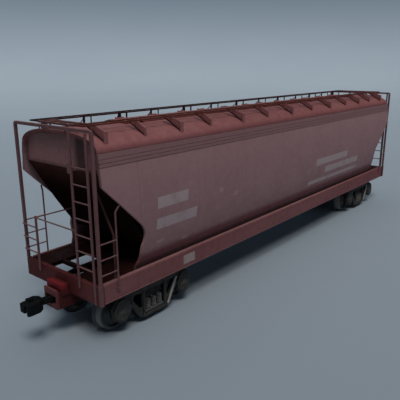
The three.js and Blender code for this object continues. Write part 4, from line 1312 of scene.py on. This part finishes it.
def side_frame(name, side_name, end):
    """A cast side frame with its bearing housings, springs and brake lever."""
    side = SIDES[side_name]
    centre = end * TRUCK_X
    label = f"{name}_{side_name}"
    body = f"truck_{name}"

    def place(points, way=1):
        return [(centre + way * x, z) for x, z in points]

    loop = FRAME_HALF + [(-x, z) for x, z in reversed(FRAME_HALF[1:-1])]
    holes = [place(rounded(SPRING_WINDOW, 0.35))]
    holes += [place(rounded(FRAME_WINDOW, 0.4), way) for way in (-1, 1)]
    bm = bmesh.new()
    casting(bm, place(rounded(loop, 0.9)), holes, side * 11.4, side * 13, 0.22)
    piece(f"frame_casting_{label}", body, "truck_plastic", bm,
          [f"side_frame_{label}"], sharp=50)

    bm = bmesh.new()
    for way in (-1, 1):
        x = centre + way * AXLE_X
        hood = [
            (AXLE_X + 2.9 * math.cos(t), 6.9 + 3.5 * math.sin(t))
            for t in spread(-0.15 * math.pi, 1.15 * math.pi, 20)
        ]
        extruded(bm, "y", place(hood, way), side * 12.6, side * 13.5)
        turned(bm, (x, side * 12.9, AXLE_Z - 0.2), (0, side, 0), [
            (0, 0), (2.1, 0), (2.1, 0.5), (1.85, 0.75), (1.6, 0.8),
            (1.55, 1.0), (1.3, 1.15), (0.6, 1.2), (0, 1.2),
        ], 36)
        for k in range(3):
            t = math.pi / 2 + TURN * k / 3
            spot = (x + 1.05 * math.cos(t), side * 14.06, AXLE_Z - 0.2 + 1.05 * math.sin(t))
            rivet(bm, spot, (0, side, 0), 0.2)
        arm = place([(4.9, 2.2), (4.9, 3.2), (8.6, 8.1), (9.4, 7.6), (5.4, 2.0)], way)
        extruded(bm, "y", arm, side * 12.8, side * 13.25)
        column = (centre + way * 3.95, centre + way * 4.6)
        block(bm, column, (side * 12.8, side * 13.3), (2.2, 10.6))
    block(bm, (centre - 9, centre + 9), (side * 12.8, side * 13.2), (10.3, 11.2))
    block(bm, (centre - 4.4, centre + 4.4), (side * 12.8, side * 13.25), (1.7, 2.5))
    piece(f"frame_details_{label}", body, "truck_plastic", bm, bevel=0.16)

    bm = bmesh.new()
    block(bm, (centre - 3.5, centre + 3.5), (side * 11.5, side * 12.9), (3.2, 3.6))
    for dx in SPRINGS:
        turns, wire, coil, low, high = 4.5, 0.24, 0.62, 3.75, 6.75
        points = [
            (
                centre + dx + coil * math.cos(TURN * t),
                side * 12.35 + coil * math.sin(TURN * t),
                low + (high - low) * t / turns,
            )
            for t in spread(0, turns, int(turns * 16))
        ]
        pipe(bm, points, wire, 8)
        pipe(bm, [(centre + dx, side * 12.3, 3.5), (centre + dx, side * 12.3, 6.8)], 0.4)
    piece(f"spring_coils_{label}", body, "spring_steel", bm,
          [f"spring_group_{label}"], finish="coil_steel")

    bm = bmesh.new()
    pipe(bm, [(centre + x, side * y, z) for x, y, z in LEVER], 0.34)
    piece(f"brake_lever_{label}", body, "spring_steel", bm, finish="lever_steel")


def truck(name, end):
    body = f"truck_{name}"
    centre = end * TRUCK_X
    for side_name in SIDES:
        side_frame(name, side_name, end)
    bm = bmesh.new()
    extruded(bm, "x", BOLSTER, centre - 2.3, centre + 2.3)
    for side in SIDES.values():
        block(bm, (centre - 3.4, centre + 3.4), (side * 10.6, side * 12.4), (6.95, 9.1))
        for x in (centre - 1.6, centre + 1.6):
            block(bm, (x - 0.25, x + 0.25), (side * 12.3, side * 12.7), (7.2, 8.9))
    piece(f"bolster_{name}", body, "truck_plastic", bm,
          [f"truck_bolster_{name}"], bevel=0.2, segments=3)
    # The brake beams and shoes are near-black, standing in for the shade under the truck.
    bm = bmesh.new()
    block(bm, (centre - 3.4, centre + 3.4), (-11.2, 11.2), (3.0, 3.5))
    for side in SIDES.values():
        block(bm, (centre - 4.6, centre + 4.6), (side * 9.9, side * 10.3), (2.6, 10.2))
        for way in (-1, 1):
            x = centre + way * AXLE_X
            shoe = [(x - way * r * math.cos(t), AXLE_Z + r * math.sin(t))
                    for r, turn in SHOE_EDGES for t in spread(-0.6 * turn, 0.6 * turn, 8)]
            extruded(bm, "y", shoe, side * 8.3, side * 9.7)
            block(bm, (x - way * 7.2, x - way * 6.2), (side * 0.5, side * 9.4), (5.2, 6.4))
    piece(f"brake_beams_{name}", body, "truck_plastic", bm, finish="painted_shadow", bevel=0.06)
    carry(f"truck_screw_{name}", "spring_steel", 0.06)
    for place_name, offset in (("outer", AXLE_X), ("inner", -AXLE_X)):
        wheelset(f"{name}_{place_name}", end * (TRUCK_X + offset))


# Half a wheelset as (radius, distance from the middle of the axle) points.
AXLE_PROFILE = [
    (0.9, 0), (0.9, 5.8), (1.25, 6.5), (1.7, 6.9), (1.7, 7.45), (3.0, 7.75), (4.3, 7.9),
    (4.5, 7.25), (4.62, 7.2),
]
RIM_PROFILE = [
    (4.62, 7.2), (5.6, 7.2), (5.82, 7.26), (5.9, 7.4), (5.88, 7.62), (5.6, 7.9), (5.36, 8.15),
]
TREAD_PROFILE = [(5.36, 8.15), (5.27, 8.5), (5.22, 9.85), (5.1, 10)]
FACE_PROFILE = [
    (5.1, 10), (4.5, 10), (4.35, 9.85), (4.2, 9.15), (3.6, 8.95), (2.4, 9.1), (1.75, 9.4),
    (1.6, 9.95), (1.35, 10.1), (0.95, 10.15), (0.9, 10.3), (0.85, 11.5), (0.35, 12.35), (0, 12.4),
]


def wheelset(name, x):
    body = f"wheelset_{name}"
    bm = bmesh.new()
    for sign in (-1, 1):
        for profile in (AXLE_PROFILE, RIM_PROFILE, FACE_PROFILE):
            turned(bm, (x, 0, AXLE_Z), (0, sign, 0), profile, 72)
    piece(f"wheels_{name}", body, "wheel_metal", bm, [body], sharp=28)
    bm = bmesh.new()
    for sign in (-1, 1):
        turned(bm, (x, 0, AXLE_Z), (0, sign, 0), TREAD_PROFILE, 72)
    piece(f"treads_{name}", body, "wheel_metal", bm, finish="wheel_tread")


# ---- Assembly --------------------------------------------------------------------------------
for side_name, side in SIDES.items():
    side_shell(side_name, side)
    side_sill(side_name, side)
    roof_walk(side_name, side)
roof_shell()
hatch_coaming()
for number, centre in enumerate(hatch_centres(), 1):
    hatch_cover(number, centre)
for end_name, end in ENDS.items():
    end_wall(end_name, end)
    end_walk(end_name, end)
    corner_frame(end_name, end)
    end_ladder(end_name, end)
    end_rail(end_name, end)
    platform(end_name, end)
    draft_sill(end_name, end)
    coupler(end_name, end)
    truck(end_name, end)
    carry(f"hopper_partition_{end_name}", "under_paint")
for number in (1, 2, 3):
    carry(f"outlet_hopper_{number}", "under_paint", 0.12)
    carry(f"outlet_gate_{number}", "spring_steel")
brake_pipe()
brake_gear()

# ---- Stage, light and camera -----------------------------------------------------------------


def stage():
    """A pale floor that curves up into a wall all round, with no horizon."""
    bm = bmesh.new()
    flat, curve, top = 1100.0, 900.0, 2600.0
    profile = [(0, 0), (flat * 0.3, 0), (flat, 0)]
    for t in spread(0, math.pi / 2, 16)[1:]:
        profile.append((flat + curve * math.sin(t), curve * (1 - math.cos(t))))
    profile.append((flat + curve, top))
    turned(bm, (0, 0, -0.02), (0, 0, 1), profile, 64)
    mesh = bpy.data.meshes.new("floor")
    bmesh.ops.recalc_face_normals(bm, faces=bm.faces[:])
    bm.to_mesh(mesh)
    bm.free()
    mesh.transform(Matrix.Scale(MM, 4))
    mesh.shade_smooth()
    f = Finish("floor")
    tone = f.mix(f.noise(180, 3), linear(174, 186, 196), linear(182, 193, 202))
    tone = f.mix(f.ramp(f.z, -50, 420), tone, linear(116, 132, 145))
    rough = f.math("ADD", 0.8, f.times(f.noise(60, 2), 0.1))
    mesh.materials.append(f.surface(tone, rough, specular=0.15))
    floor = bpy.data.objects.new("floor", mesh)
    scene.collection.objects.link(floor)


def sun(name, toward, power, colour, spread_deg):
    """Soft parallel light that arrives from the direction `toward`."""
    data = bpy.data.lights.new(name, "SUN")
    data.energy = power
    data.color = colour
    data.angle = math.radians(spread_deg)
    made = bpy.data.objects.new(name, data)
    scene.collection.objects.link(made)
    made.rotation_euler = (-Vector(toward)).to_track_quat("-Z", "Y").to_euler()


def sky(strength):
    world = bpy.data.worlds.new("studio")
    world.use_nodes = True
    scene.world = world
    back = world.node_tree.nodes["Background"]
    back.inputs["Color"].default_value = linear(206, 214, 222)
    back.inputs["Strength"].default_value = strength


def camera(place, yaw, pitch, roll, focal):
    """The photograph's view, from angles in degrees and a focal length in millimetres."""
    data = bpy.data.cameras.new("camera")
    data.sensor_width = 36
    data.lens = focal
    data.clip_start = 0.005
    made = bpy.data.objects.new("camera", data)
    scene.collection.objects.link(made)
    yaw, pitch, roll = (math.radians(v) for v in (yaw, pitch, roll))
    level = math.cos(pitch)
    forward = Vector((level * math.cos(yaw), level * math.sin(yaw), math.sin(pitch)))
    right = forward.cross(Vector((0, 0, 1))).normalized()
    up = right.cross(forward)
    across = right * math.cos(roll) + up * math.sin(roll)
    upright = up * math.cos(roll) - right * math.sin(roll)
    turn = Matrix((across, upright, -forward)).transposed()
    made.matrix_world = Matrix.Translation(Vector(place) * MM) @ turn.to_4x4()
    scene.camera = made


stage()
sky(0.6)
sun("key", toward=(-0.55, -0.7, 1.25), power=1.9, colour=(1.0, 0.985, 0.96), spread_deg=28)
camera(place=(-165.06, -105.90, 71.25), yaw=39.86, pitch=-15.49, roll=-0.21, focal=43.875)
scene.view_settings.view_transform = "Standard"
